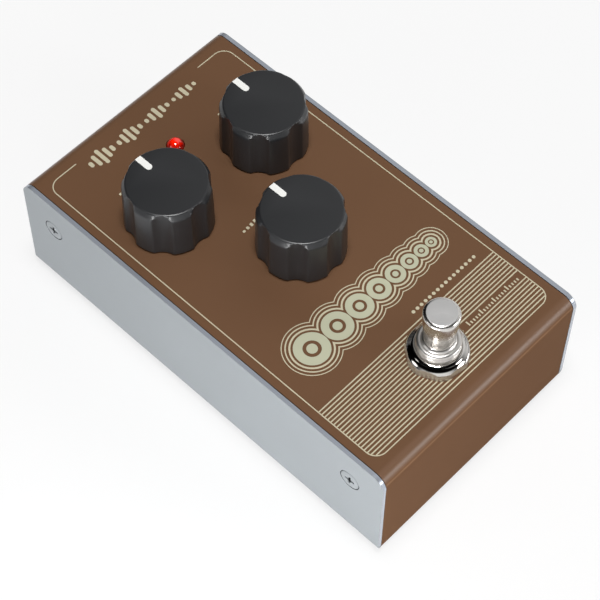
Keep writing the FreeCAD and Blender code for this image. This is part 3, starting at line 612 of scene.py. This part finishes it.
def roundEdges(shape, wanted, radius, segments):
    edges = [edge for edge in shape.edges if wanted(edge)]
    bmesh.ops.bevel(shape, geom=edges, offset=radius * mm, offset_type="OFFSET", segments=segments,
                    profile=0.5, affect="EDGES", material=-1, clamp_overlap=True)
    return shape


def along(edge, axis):  # the edge runs along that axis
    line = (edge.verts[1].co - edge.verts[0].co).normalized()
    return abs(line["XYZ".index(axis)]) > 0.999


def meshOf(name, shape):  # turns a shape into a mesh and frees it
    mesh = bpy.data.meshes.new(name)
    shape.to_mesh(mesh)
    shape.free()
    return mesh


def placed(name, data):  # a new object in the scene
    made = bpy.data.objects.new(name, data)
    bpy.context.scene.collection.objects.link(made)
    return made


def joined(shapes):  # puts them in one shape, unmerged
    whole = bmesh.new()
    for shape in shapes:
        mesh = meshOf("part", shape)
        whole.from_mesh(mesh)
        bpy.data.meshes.remove(mesh)
    return whole


def combine(shape, tool, operation="DIFFERENCE"):
    target, cutter = (placed("temporary", meshOf("temporary", part)) for part in (shape, tool))
    change = target.modifiers.new("combine", "BOOLEAN")
    change.operation = operation
    change.solver = "EXACT"
    change.object = cutter
    view = bpy.context.evaluated_depsgraph_get()
    mesh = bpy.data.meshes.new_from_object(target.evaluated_get(view))
    result = bmesh.new()
    result.from_mesh(mesh)
    for used in (target, cutter):
        left = used.data
        bpy.data.objects.remove(used)
        bpy.data.meshes.remove(left)
    bpy.data.meshes.remove(mesh)
    bmesh.ops.remove_doubles(result, verts=result.verts, dist=1e-7)
    return result


# A piece rides a body, stands for one CAD node or for none, and takes its slot's finish or its own.
def addPiece(name, shape, slot, body=enclosure, stands=None, finish=None, sharp=32, edgeRound=0.0, steps=2):
    mesh = meshOf(name, shape)
    mesh.materials.append(finish or finishes[slot])
    mesh.polygons.foreach_set("use_smooth", [True] * len(mesh.polygons))
    mesh.set_sharp_from_angle(angle=math.radians(sharp))
    piece = placed(name, mesh)
    if edgeRound:
        rounding = piece.modifiers.new("edges", "BEVEL")
        rounding.width = edgeRound * mm
        rounding.segments = steps
        rounding.limit_method = "ANGLE"
        rounding.angle_limit = math.radians(sharp)
        rounding.use_clamp_overlap = True
        piece.modifiers.new("normals", "WEIGHTED_NORMAL").keep_sharp = True
    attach(piece, body)
    if stands:
        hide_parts(stands)
    return piece


# Case

def bentBox(low, high, radius):  # a box whose two upper edges along X are rounded
    shape = solidBox(low, high)
    top = high[2] * mm - 1e-6
    return roundEdges(shape, lambda edge: along(edge, "X") and min(vert.co.z for vert in edge.verts) > top,
                      radius, caseSizes["bendSegments"])


def topCover():
    values = caseSizes
    wall, reach = values["wall"], values["holeReach"]
    low, high = coverLow, coverHigh
    shape = bentBox(low, high, values["bend"])
    inner = bentBox((low.x + wall, low.y + wall, low.z - 1), (high.x - wall, high.y - wall, panelTop - wall),
                    values["bend"] - wall)
    shape = combine(shape, inner)
    shape = combine(shape, solidBox((low.x - 1, low.y + wall, low.z - 1),
                                    (high.x + 1, high.y - wall, panelTop - values["flange"])))
    upper = [(values["controlHole"], jointPlaces[name + "_turn"], 64) for name in controlNames]
    upper += [(values["lampHole"], (0, lampY), 64), (values["switchHole"], (0, switchY), 96)]
    holes = [rod(radius, panelTop - reach, 2 * reach, center, sides=sides) for radius, center, sides in upper]
    rear = ((values["jackHole"], -jackX), (values["jackHole"], jackX), (values["powerHole"], 0))
    holes += [rod(radius, high.y - reach, 2 * reach, (x, jackZ), "Y") for radius, x in rear]
    addPiece("topCover", combine(shape, joined(holes)), "cover_paint", stands="top_cover",
             edgeRound=values["coverEdge"], steps=3)


def intoSide(shape, side, y, z):  # lays a shape that points up into a side of the chassis
    return moveBy(turnBy(shape, -90 * side, "Y"), side * chassisHigh.x, y, z)


def baseChassis():
    values = caseSizes
    sheet, slot, hole = values["sheet"], values["skirtSlot"], values["screwHole"]
    low, high = chassisLow, chassisHigh
    inside = high.x - sheet
    floorTop = low.z + sheet
    shape = bentBox(low, high, values["bend"])
    under = low.z * mm + 1e-6
    roundEdges(shape, lambda edge: along(edge, "Y") and max(vert.co.z for vert in edge.verts) < under,
               values["chassisBend"], 6)
    shape = combine(shape, solidBox((-inside, low.y - 1, floorTop), (inside, high.y + 1, panelTop + 1)))
    spans = ((low.y - 1, low.y + slot), (high.y - slot, high.y + 1))
    ends = [solidBox((-inside, start, low.z - 1), (inside, end, floorTop + 1)) for start, end in spans]
    shape = combine(shape, joined(ends))
    spans = ((low.y + slot, low.y + slot + sheet), (high.y - slot - sheet, high.y - slot))
    lips = [solidBox((-inside - 0.1, start, low.z), (inside + 0.1, end, low.z + values["lip"]))
            for start, end in spans]
    shape = combine(shape, joined(lips), "UNION")
    cones = [intoSide(rod(hole + 0.1, -0.1, sheet + 0.3, endRadius=hole - sheet - 0.1, sides=48), *place)
             for place in screwPlaces()]
    addPiece("baseChassis", combine(shape, joined(cones)), "chassis_metal", stands="base_chassis",
             edgeRound=values["plateEdge"], steps=3)


screwSizes = {
    "head": 3.0, "rim": 0.18, "thread": 1.5, "headDepth": 1.5, "length": 5.6, "crown": 0.02,
    "slot": 0.8, "slotLength": 3.4, "slotDepth": 1.2, "slotTaper": 0.72,
}


def caseScrews():
    values = screwSizes
    head, rim, thread, length = (values[name] for name in ("head", "rim", "thread", "length"))
    narrow, wide, taper = values["slot"], values["slotLength"], values["slotTaper"]
    profile = [(0, length), (thread - 0.3, length), (thread, length - 0.3), (thread, values["headDepth"]),
               (head, rim), (head - 0.06, 0.05), (head - rim, 0.0),
               (head / 2, -0.75 * values["crown"]), (0, -values["crown"])]
    screws = []
    for place in screwPlaces():
        screw = lathe(profile, steps=64)
        for x, y in ((narrow, wide), (wide, narrow)):
            cross = solidBox((-x / 2, -y / 2, -1), (x / 2, y / 2, values["slotDepth"]))
            deep = [vert for vert in cross.verts if vert.co.z > 0]
            bmesh.ops.scale(cross, verts=deep, vec=(taper, taper, 1))
            screw = combine(screw, cross)
        screws.append(intoSide(screw, *place))
    addPiece("caseScrews", joined(screws), "screw_steel", stands="side_screws", sharp=25)


footSizes = {"radius": 5.5, "height": 2.2, "edge": 0.5, "dish": 2.4, "dishDepth": 0.35, "inset": (9.0, 10.0)}


def rubberFeet():
    values = footSizes
    radius, edge, dish, deep = (values[name] for name in ("radius", "edge", "dish", "dishDepth"))
    inX, inY = values["inset"]
    profile = [(0, deep), (dish - 0.5, deep), (dish, 0.08), (dish + 0.25, 0.0)]
    profile += arc((radius - edge, edge), edge, -90, 0, 5)
    profile += [(radius, values["height"]), (0, values["height"])]
    feet = [lathe(profile, (x, y), 64) for x in (chassisLow.x + inX, chassisHigh.x - inX)
            for y in (coverLow.y + inY, coverHigh.y - inY)]
    addPiece("rubberFeet", joined(feet), "foot_rubber", stands="rubber_feet", sharp=40)


topCover()
baseChassis()
caseScrews()
rubberFeet()
print("case made")


# Print on the cover

printSizes = {
    "film": 0.03, "sink": 0.02,
    "halfWidth": 33.16, "front": -59.33, "rear": 59.18, "corner": 3.5, "line": 0.3, "gap": 22.9,
    "stripeFirst": -39.8, "stripePitch": 1.0197, "stripes": 19, "stripeWidth": 0.34,
    "shortStripes": (9, 10), "shortStart": 9.6, "nutClear": 8.1,
}


def printLevels():
    return panelTop - printSizes["sink"], panelTop + printSizes["film"]


def inkBar(low, high, radius=0.0, segments=5):  # low and high are (x, y) corners
    levels = printLevels()
    shape = solidBox((*low, levels[0]), (*high, levels[1]))
    if radius:
        roundEdges(shape, lambda edge: along(edge, "Z"), radius, segments)
    return shape


def inkRing(center, outer, inner=0.0, sides=72):
    low, high = printLevels()
    profile = [(inner, low), (outer, low), (outer, high), (inner, high)]
    return lathe(profile, center, sides, closed=inner > 0)


def borderLine():
    values = printSizes
    half, line, corner, gap = values["halfWidth"], values["line"] / 2, values["corner"], values["gap"]
    front, rear = caseMiddle + values["front"], caseMiddle + values["rear"]
    outer = inkBar((-half - line, front - line), (half + line, rear + line), corner + line, 14)
    inner = solidBox((-half + line, front + line, panelTop - 1), (half - line, rear - line, panelTop + 1))
    roundEdges(inner, lambda edge: along(edge, "Z"), corner - line, 14)
    shape = combine(outer, inner)
    shape = combine(shape, solidBox((-gap, rear - 1, panelTop - 1), (gap, rear + 1, panelTop + 1)))
    addPiece("borderLine", shape, "cover_paint", sharp=30, finish=creamInk)


def stripeReach(y):  # how far a stripe at y reaches before it meets the border's inner edge
    values = printSizes
    inner = values["line"] / 2 + 0.01
    corner = values["corner"] - inner
    half = values["halfWidth"] - inner
    into = caseMiddle + values["front"] + values["corner"] - y
    if into <= 0:
        return half
    return half - corner + math.sqrt(max(corner ** 2 - into ** 2, 0.0))


def stripes():
    values = printSizes
    half = values["stripeWidth"] / 2
    bars = []
    for number in range(values["stripes"]):
        y = caseMiddle + values["stripeFirst"] - number * values["stripePitch"]
        reach = stripeReach(y)
        right = values["shortStart"] if number in values["shortStripes"] else reach
        off = abs(y - switchY)
        if off < values["nutClear"]:
            clear = math.sqrt(values["nutClear"] ** 2 - off ** 2)
            runs = [(-reach, -clear), (clear, right)]
        else:
            runs = [(-reach, right)]
        bars += [inkBar((start, y - half), (end, y + half)) for start, end in runs if end > start]
    addPiece("stripes", joined(bars), "cover_paint", sharp=30, finish=creamInk)


badgeSizes = {
    "y": -26.0, "radii": (4.9, 4.3, 3.8, 3.3, 2.8, 2.4, 2.0, 1.6), "gap": 0.2, "hub": 0.3, "groove": 0.5,
    "outlines": ((0.6, 1.1), (1.75, 2.1), (2.8, 3.05)),
}


def badgeDiscs():  # (x, radius) of each disc, the row centred on X = 0
    values = badgeSizes
    radii = values["radii"]
    length = 2 * sum(radii) + values["gap"] * (len(radii) - 1)
    x = -length / 2
    discs = []
    for radius in radii:
        discs.append((x + radius, radius))
        x += 2 * radius + values["gap"]
    return discs


def discRow(grow, low, high):  # the discs of the row, each grown, made one
    y = caseMiddle + badgeSizes["y"]
    whole = None
    for x, radius in badgeDiscs():
        disc = rod(radius + grow, low, high - low, (x, y), sides=96)
        whole = combine(whole, disc, "UNION") if whole else disc
    return whole


def badge():
    values = badgeSizes
    y = caseMiddle + values["y"]
    fills = []
    for x, radius in badgeDiscs():
        fills += [inkRing((x, y), radius, radius * values["groove"]), inkRing((x, y), radius * values["hub"])]
    addPiece("badgeDiscs", joined(fills), "cover_paint", sharp=30, finish=sageInk)
    outlines = [combine(discRow(outer, *printLevels()), discRow(inner, panelTop - 1, panelTop + 1))
                for inner, outer in values["outlines"]]
    addPiece("badgeOutlines", joined(outlines), "cover_paint", sharp=30, finish=creamInk)


markSizes = {
    "pulses": {"y": 56.0, "start": -20.2, "pitch": 1.93, "width": 1.15, "height": 5.8,
               "shape": (0.34, 0.72, 1.0, 0.66, 0.36), "fade": 0.86, "groups": 4},
    "ramps": {"time": (-17.8, 43.1, 9.0), "mix": (17.8, 43.1, 7.0), "repeats": (0.0, 11.1, 16.0)},
    "rampPitch": 1.45, "rampWidth": 0.8, "rampHeights": (0.7, 2.6),
    "dots": {"y": -37.1, "start": 5.0, "end": 28.4, "count": 16, "radius": 0.5},
    "ticks": {"start": 12.0, "end": 31.0, "count": 20, "height": 1.5, "low": 0.8, "width": 0.42},
}


def spaced(row):  # even places along X
    reach = row["end"] - row["start"]
    return [row["start"] + reach * number / (row["count"] - 1) for number in range(row["count"])]


def marks():
    values = markSizes
    bars = []

    def bar(x, low, width, height, radius=0.0):
        bars.append(inkBar((x - width / 2, low), (x + width / 2, low + height), radius))

    pulses = values["pulses"]
    x, width = pulses["start"], pulses["width"]
    for group in range(pulses["groups"]):
        for share in pulses["shape"]:
            height = max(pulses["height"] * share * pulses["fade"] ** group, width + 0.02)
            bar(x, caseMiddle + pulses["y"] - height / 2, width, height, width * 0.48)
            x += pulses["pitch"]
        x += pulses["pitch"] * 0.3
    first, last = values["rampHeights"]
    for middle, low, length in values["ramps"].values():
        count = int(length / values["rampPitch"])
        for number in range(count):
            x = middle + (number - (count - 1) / 2) * values["rampPitch"]
            height = first + (last - first) * number / (count - 1)
            bar(x, caseMiddle + low, values["rampWidth"], height, 0.15)
    dots = values["dots"]
    bars += [inkRing((x, caseMiddle + dots["y"]), dots["radius"], sides=24) for x in spaced(dots)]
    ticks, sizes = values["ticks"], printSizes
    row = caseMiddle + sizes["stripeFirst"] - sizes["stripePitch"] * sum(sizes["shortStripes"]) / 2
    for number, x in enumerate(spaced(ticks)):
        bar(x, row - ticks["height"] / 2, ticks["width"], ticks["low"] if number % 5 else ticks["height"])
    addPiece("levelMarks", joined(bars), "cover_paint", sharp=30, finish=creamInk)


borderLine()
stripes()
badge()
marks()
print("print made")


# Controls

knobSizes = {
    "baseRadius": 12.07, "shoulderRadius": 11.8, "topRadius": 10.8, "lift": 0.6, "height": 16.5,
    "shoulder": 14.9, "points": 40, "flutes": 7, "fluteRadius": 5.1, "fluteDepth": 1.0,
    "blend": 0.1, "cavity": 9.2, "cavityDepth": 5.9, "hub": 5.2, "hubLow": 5.3, "bore": 3.02,
    "boreDepth": 13.0,
    "footRound": 0.3, "shoulderRound": (0.8, 0.45), "topRound": (0.45, 0.4), "roundSteps": 5,
}
pointerSizes = {"width": 1.9, "length": 5.1, "depth": 0.5, "proud": 0.05, "gap": 0.02}


def toward(start, end, distance):  # the point that far from start on the way to end
    length = math.dist(start, end)
    return tuple(a + (b - a) * distance / length for a, b in zip(start, end))


def knobProfile():  # (radius, height) pairs up the body, as if it had no flutes
    values = knobSizes
    foot = (values["baseRadius"], values["lift"])
    shoulder = (values["shoulderRadius"], values["shoulder"])
    rim = (values["topRadius"], values["height"])
    steps = values["roundSteps"]
    footRound = values["footRound"]
    below, above = values["shoulderRound"]
    outside, inside = values["topRound"]
    profile = bend((foot[0] - footRound, foot[1]), foot, toward(foot, shoulder, footRound), 3)
    profile += [toward(foot, shoulder, 5.0), toward(foot, shoulder, 10.0)]
    profile += bend(toward(shoulder, foot, below), shoulder, toward(shoulder, rim, above), steps)
    profile += bend(toward(rim, shoulder, outside), rim, (rim[0] - inside, rim[1]), steps)
    return profile


def knobRadius(angle, radius, height):  # the body's radius there, less where a flute runs
    values = knobSizes
    step = 2 * math.pi / values["flutes"]
    off = (angle + math.pi / 2 + step / 2) % step - step / 2
    slope = (values["baseRadius"] - values["shoulderRadius"]) / (values["shoulder"] - values["lift"])
    reach = values["baseRadius"] - values["fluteDepth"] + values["fluteRadius"]
    flute = values["fluteRadius"] + slope * (height - values["lift"])
    inside = flute ** 2 - (reach * math.sin(off)) ** 2
    if inside <= 0:
        return radius
    wall = reach * math.cos(off) - math.sqrt(inside)
    return (radius + wall - math.sqrt((radius - wall) ** 2 + values["blend"] ** 2)) / 2


def knob(name):
    values = knobSizes
    place = jointPlaces[name + "_turn"]
    center = (place.x, place.y, panelTop)
    shape = bmesh.new()
    bmesh.ops.create_circle(shape, cap_ends=True, segments=values["flutes"] * values["points"],
                            radius=values["baseRadius"] * mm)
    face = shape.faces[:][0]
    angles = [math.atan2(vert.co.y, vert.co.x) for vert in face.verts]
    for number, (radius, height) in enumerate(knobProfile()):
        if number:
            made = bmesh.ops.extrude_face_region(shape, geom=[face])["geom"]
            face = [item for item in made if isinstance(item, bmesh.types.BMFace)][0]
        for vert, angle in zip(face.verts, angles):
            reach = knobRadius(angle, radius, height) * mm
            vert.co = Vector((reach * math.cos(angle), reach * math.sin(angle), height * mm))
    bmesh.ops.recalc_face_normals(shape, faces=shape.faces)
    lift, hub, cavity, hubLow = (values[key] for key in ("lift", "hub", "cavity", "hubLow"))
    roof = lift + values["cavityDepth"]
    hollow = lathe([(hub, hubLow), (hub, roof), (cavity, roof), (cavity, lift - 1), (0, lift - 1),
                    (0, hubLow)])
    for tool in (hollow, rod(values["bore"], lift, values["boreDepth"]), pointerShape(0.0)):
        shape = combine(shape, tool)
    body = name + "_control"
    addPiece(name + "Knob", moveBy(shape, *center), "knob_plastic", body, name + "_knob", sharp=40)
    pointer = moveBy(pointerShape(pointerSizes["gap"]), *center)
    addPiece(name + "Pointer", pointer, "pointer_white", body, name + "_pointer")


def pointerShape(shrink):  # a bar with a round inner end, at a knob's own centre
    values = pointerSizes
    top = knobSizes["height"]
    half = values["width"] / 2 - shrink
    outer = knobSizes["topRadius"] - shrink
    inner = knobSizes["topRadius"] - values["length"] + shrink
    shape = solidBox((-half, inner, top - values["depth"]), (half, outer, top + values["proud"]))
    return roundEdges(shape, lambda edge: along(edge, "Z") and edge.verts[0].co.y < (inner + 0.1) * mm,
                      half * 0.98, 8)


for controlName in controlNames:
    knob(controlName)
print("controls made")


# Footswitch and lamp

def switchPlunger():  # the stem widens towards the head above what the bushing swallows
    values = switchSizes
    stem, head, edge, core, stemLow = (values[name] for name in ("stem", "head", "edge", "rod", "stemLow"))
    top = panelTop + values["top"]
    profile = [(0, switchLow.z), (core, switchLow.z), (core, stemLow), (stem - 0.2, stemLow),
               (stem, stemLow + 0.2)]
    profile += bend((stem, panelTop + values["straight"]),
                    (stem + values["flare"], panelTop + values["flareFrom"]), (head, top - edge - 0.3), 10)
    profile += arc((head - edge, top - edge), edge, 0, 90, 14)
    profile += [(head - edge - 0.08, top), (0, top)]
    addPiece("switchPlunger", lathe(profile, (0, switchY), 128), "footswitch_chrome", "footswitch_button",
             "footswitch_plunger", sharp=28)


def switchBushing():
    values = switchSizes
    low, high = cadBounds("footswitch_bushing")
    radius, lip, pitch = values["bushing"], values["lip"], values["threadPitch"]
    top = panelTop + values["bushingTop"]
    bore = values["stem"] + 0.05
    plateTop = low.z + values["plate"]
    profile = [(bore, plateTop - 0.5), (radius, plateTop - 0.5)]
    height = top - values["collar"] - pitch * values["threads"]
    for _ in range(values["threads"]):
        profile += [(radius, height), (radius, height + pitch * 0.4),
                    (radius - values["threadDepth"], height + pitch * 0.7)]
        height += pitch
    profile += bend((radius, height), (radius, top - 0.2), (lip + 0.45, top), 6)
    profile += [(lip + 0.1, top), (lip, top - 0.1), (lip - 0.1, top)]
    profile += bend((lip - 0.12, top + 0.05), (bore + 0.25, top + values["lipRise"] * 0.75),
                    (bore, top + values["lipRise"]), 5)
    neck = lathe(profile, (0, switchY), 128, closed=True)
    half = (high.x - low.x) / 2
    plate = solidBox((-half, switchY - half, low.z), (half, switchY + half, plateTop))
    plate = combine(plate, rod(values["plateHole"], low.z - 1, 4, (0, switchY)))
    addPiece("switchBushing", combine(neck, plate, "UNION"), "footswitch_chrome", stands="footswitch_bushing",
             sharp=28)


def switchNut():
    values = switchSizes
    low, radius, bushing = panelTop, values["nutRadius"], values["bushing"]
    bore = bushing + values["nutGap"]
    wall, top = low + values["nutWall"], low + values["nutTop"]
    shoulder = (values["nutShoulder"], top - values["nutDrop"])
    profile = [(bore, low), (radius - 0.15, low), (radius, low + 0.15)]
    profile += bend((radius, wall), (radius - 0.3, wall + 0.8), shoulder, 8)
    profile += bend(shoulder, (shoulder[0] - 0.45, top), (bushing + 0.3, top), 10)[1:]
    profile.append((bore, top - 0.25))
    dome = lathe(profile, (0, switchY), 192, closed=True)
    hexagon = rod(values["nutAcross"] / math.sqrt(3), low - 1, values["nutTop"] + 2, sides=6)
    moveBy(turnBy(hexagon, values["nutTurn"] - 90, "Z"), 0, switchY, 0)
    addPiece("switchNut", combine(dome, hexagon, "INTERSECT"), "footswitch_chrome", stands="footswitch_nut",
             edgeRound=values["nutEdge"])


def lampLens():
    values = lampSizes
    radius, flange = values["radius"], values["flange"]
    low, high = lampLow.z, lampHigh.z
    ledge = low + values["flangeHeight"]
    profile = [(0, low), (flange, low), (flange, ledge), (radius, ledge)]
    profile += arc((0, high - radius), radius, 0, 89.5, 14)
    profile.append((0, high))
    addPiece("lampLens", lathe(profile, (0, lampY), 64), "led_red", stands="led_lens")


switchPlunger()
switchBushing()
switchNut()
lampLens()
print("footswitch and lamp made")


# Rear jacks

jackSizes = {
    "nutAcross": 12.0, "nutHeight": 1.6, "nutEdge": 0.35, "nutRound": 0.08, "neck": 4.55,
    "washer": 6.6, "washerHeight": 0.4,
}


def jackFittings():
    values = jackSizes
    hole, neck, edge, outer = caseSizes["jackHole"], values["neck"], values["nutEdge"], values["washer"]
    corner = values["nutAcross"] / math.sqrt(3)
    low = values["washerHeight"]
    top = low + values["nutHeight"]
    ring = [(hole, 0.0), (outer - 0.1, 0.0), (outer, 0.1), (outer, low - 0.1), (outer - 0.1, low),
            (hole, low)]
    body = [(neck, low), (corner - edge, low), (corner, low + edge), (corner, top - edge),
            (corner - edge * 2, top), (neck + 0.25, top), (neck, top - 0.25)]
    washers, nuts = [], []
    for side in (-1, 1):
        nut = combine(lathe(body, closed=True), rod(corner + 0.01, -1, 5, sides=6), "INTERSECT")
        for shape, pile in ((lathe(ring, closed=True), washers), (nut, nuts)):
            pile.append(moveBy(turnBy(shape, -90, "X"), side * jackX, coverHigh.y, jackZ))
    addPiece("jackWashers", joined(washers), "jack_nickel", stands="jack_washers")
    addPiece("jackNuts", joined(nuts), "jack_nickel", stands="jack_nuts", edgeRound=values["nutRound"])


springSizes = {"radius": 2.9, "wire": 0.3, "turns": 6, "points": 28, "travel": 3.0}


def returnSpring():
    values = springSizes
    low, high = cadBounds("footswitch_spring")
    wire, turns, height = values["wire"], values["turns"], high.z - low.z
    place = Matrix.Translation((values["radius"] * mm, 0, (low.z + wire) * mm))
    shape = bmesh.new()
    bmesh.ops.create_circle(shape, cap_ends=True, segments=10, radius=wire * mm,
                            matrix=place @ Matrix.Rotation(math.pi / 2, 4, "X"))
    steps = turns * values["points"]
    bmesh.ops.spin(shape, geom=shape.verts[:] + shape.edges[:] + shape.faces[:], cent=(0, 0, 0),
                   axis=(0, 0, 1), dvec=(0, 0, (height - 2 * wire) * mm / steps), angle=2 * math.pi * turns,
                   steps=steps, use_merge=False, use_duplicate=False)
    bmesh.ops.recalc_face_normals(shape, faces=shape.faces)
    moveBy(shape, 0, switchY, 0)
    spring = addPiece("returnSpring", shape, "spring_steel", stands="footswitch_spring")
    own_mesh(spring)


jackFittings()
returnSpring()
print("jacks and spring made")


# Every CAD node that stays gets the finish of its slot.
for row in frame["record"]["subparts"]:
    held = frame["nodes"][row["node"]].data
    held.materials.clear()
    held.materials.append(finishes[row["material_slot"]])


# Stage, light and camera

stageSizes = {
    "floorHalf": 3.0, "floorTone": (238, 238, 238), "floorShow": 0.75, "soft": 0.15, "spread": 65.0,
    "aim": (0, 0, 0.02),
    # azimuth in degrees, lowest and highest sine of elevation, strength
    "glows": ((5, 0.15, 0.78, 1.0), (225, 0.0, 0.45, 1.2)),
    "lamps": {
        "topLamp": {"place": (-0.06, -0.06, 1.0), "size": (0.25, 0.25), "power": 6.6},
        "frontLamp": {"place": (0.348, -0.765, 0.323), "size": (0.36, 0.36), "power": 1.9},
        "leftLamp": {"place": (-0.66, 0.30, 0.32), "size": (0.3, 0.3), "power": 0.4},
        "sideLamp": {"place": (-0.20, -0.10, 0.035), "size": (0.10, 0.05), "power": 0.34},
        "rightStrip": {"place": (0.6, -0.55, 0.04), "size": (0.3, 0.06), "power": 0.4},
    },
}


def paperFloor():  # shows white to the camera, to metal and to glass, and keeps the object's shadow
    values = stageSizes
    shape = bmesh.new()
    bmesh.ops.create_grid(shape, x_segments=1, y_segments=1, size=values["floorHalf"])
    floor = placed("floor", meshOf("floor", shape))
    made, start, place = startMaterial("floorPaper")
    paper = start.node("BsdfPrincipled", None, {
        "Base Color": color(*values["floorTone"]),
        "Roughness": spread(noise(place, 4.0), 0.85, 0.95),
        "Specular IOR Level": 0.1,
    })
    seen, glossy, through = (start.node("LightPath", output=output) for output in (0, 3, 6))
    white = start.node("Emission", None, {"Strength": 1.0})
    shown = seen.calc("MAXIMUM", seen.calc("MAXIMUM", seen, glossy), through) * values["floorShow"]
    surface = shown.node("MixShader", None, {0: shown, 1: paper, 2: white})
    start.node("OutputMaterial", None, {"Surface": surface})
    floor.data.materials.append(made)


def studioRoom():  # dark but for soft panels, so polished metal shows both
    values = stageSizes
    world = bpy.data.worlds.new("studio")
    world.use_nodes = True
    world.node_tree.nodes.clear()
    start = Wire(world.node_tree)
    x, y, z = axes(start.node("TexCoord"))
    level = (x * x + y * y) ** 0.5 + 0.0001
    soft, edge = values["soft"], math.cos(math.radians(values["spread"]))
    total = 0.0
    for azimuth, low, high, strength in values["glows"]:
        turn = math.radians(azimuth)
        facing = (x * math.cos(turn) + y * math.sin(turn)) / level
        band = smooth(z, low - soft, low) * (1 - smooth(z, high, high + soft))
        total = total + band * strength * smooth(facing, edge, 1.0)
    light = start.node("Background", None, {"Strength": total})
    start.node("OutputWorld", None, {"Surface": light})
    bpy.context.scene.world = world


def studioLamps():
    for name, lamp in stageSizes["lamps"].items():
        light = bpy.data.lights.new(name, "AREA")
        light.shape = "ELLIPSE"
        light.size, light.size_y = lamp["size"]
        light.energy = lamp["power"]
        holder = placed(name, light)
        holder.location = lamp["place"]
        way = Vector(stageSizes["aim"]) - Vector(lamp["place"])
        holder.rotation_euler = way.to_track_quat("-Z", "Y").to_euler()


cameraSizes = {
    "place": (-211.68, -201.45, 468.95), "turn": -46.868, "tilt": 57.629, "roll": -0.648,
    "lens": 119.39, "sensor": 36.0,
}


def camera():
    values = cameraSizes
    turn, tilt, roll = (math.radians(values[name]) for name in ("turn", "tilt", "roll"))
    level = Vector((math.cos(turn), math.sin(turn), 0))
    back = Vector((math.sin(turn) * math.cos(tilt), -math.cos(turn) * math.cos(tilt), math.sin(tilt)))
    upright = back.cross(level)
    right = math.cos(roll) * level - math.sin(roll) * upright
    up = math.sin(roll) * level + math.cos(roll) * upright
    lens = bpy.data.cameras.new("photoCamera")
    lens.lens = values["lens"]
    lens.sensor_width = values["sensor"]
    lens.clip_start = 0.01
    holder = placed("photoCamera", lens)
    turned = Matrix((right, up, back)).transposed().to_4x4()
    holder.matrix_world = Matrix.Translation(Vector(values["place"]) * mm) @ turned
    bpy.context.scene.camera = holder
    bpy.context.scene.view_settings.view_transform = "Standard"


paperFloor()
studioRoom()
studioLamps()
camera()
print("stage made")
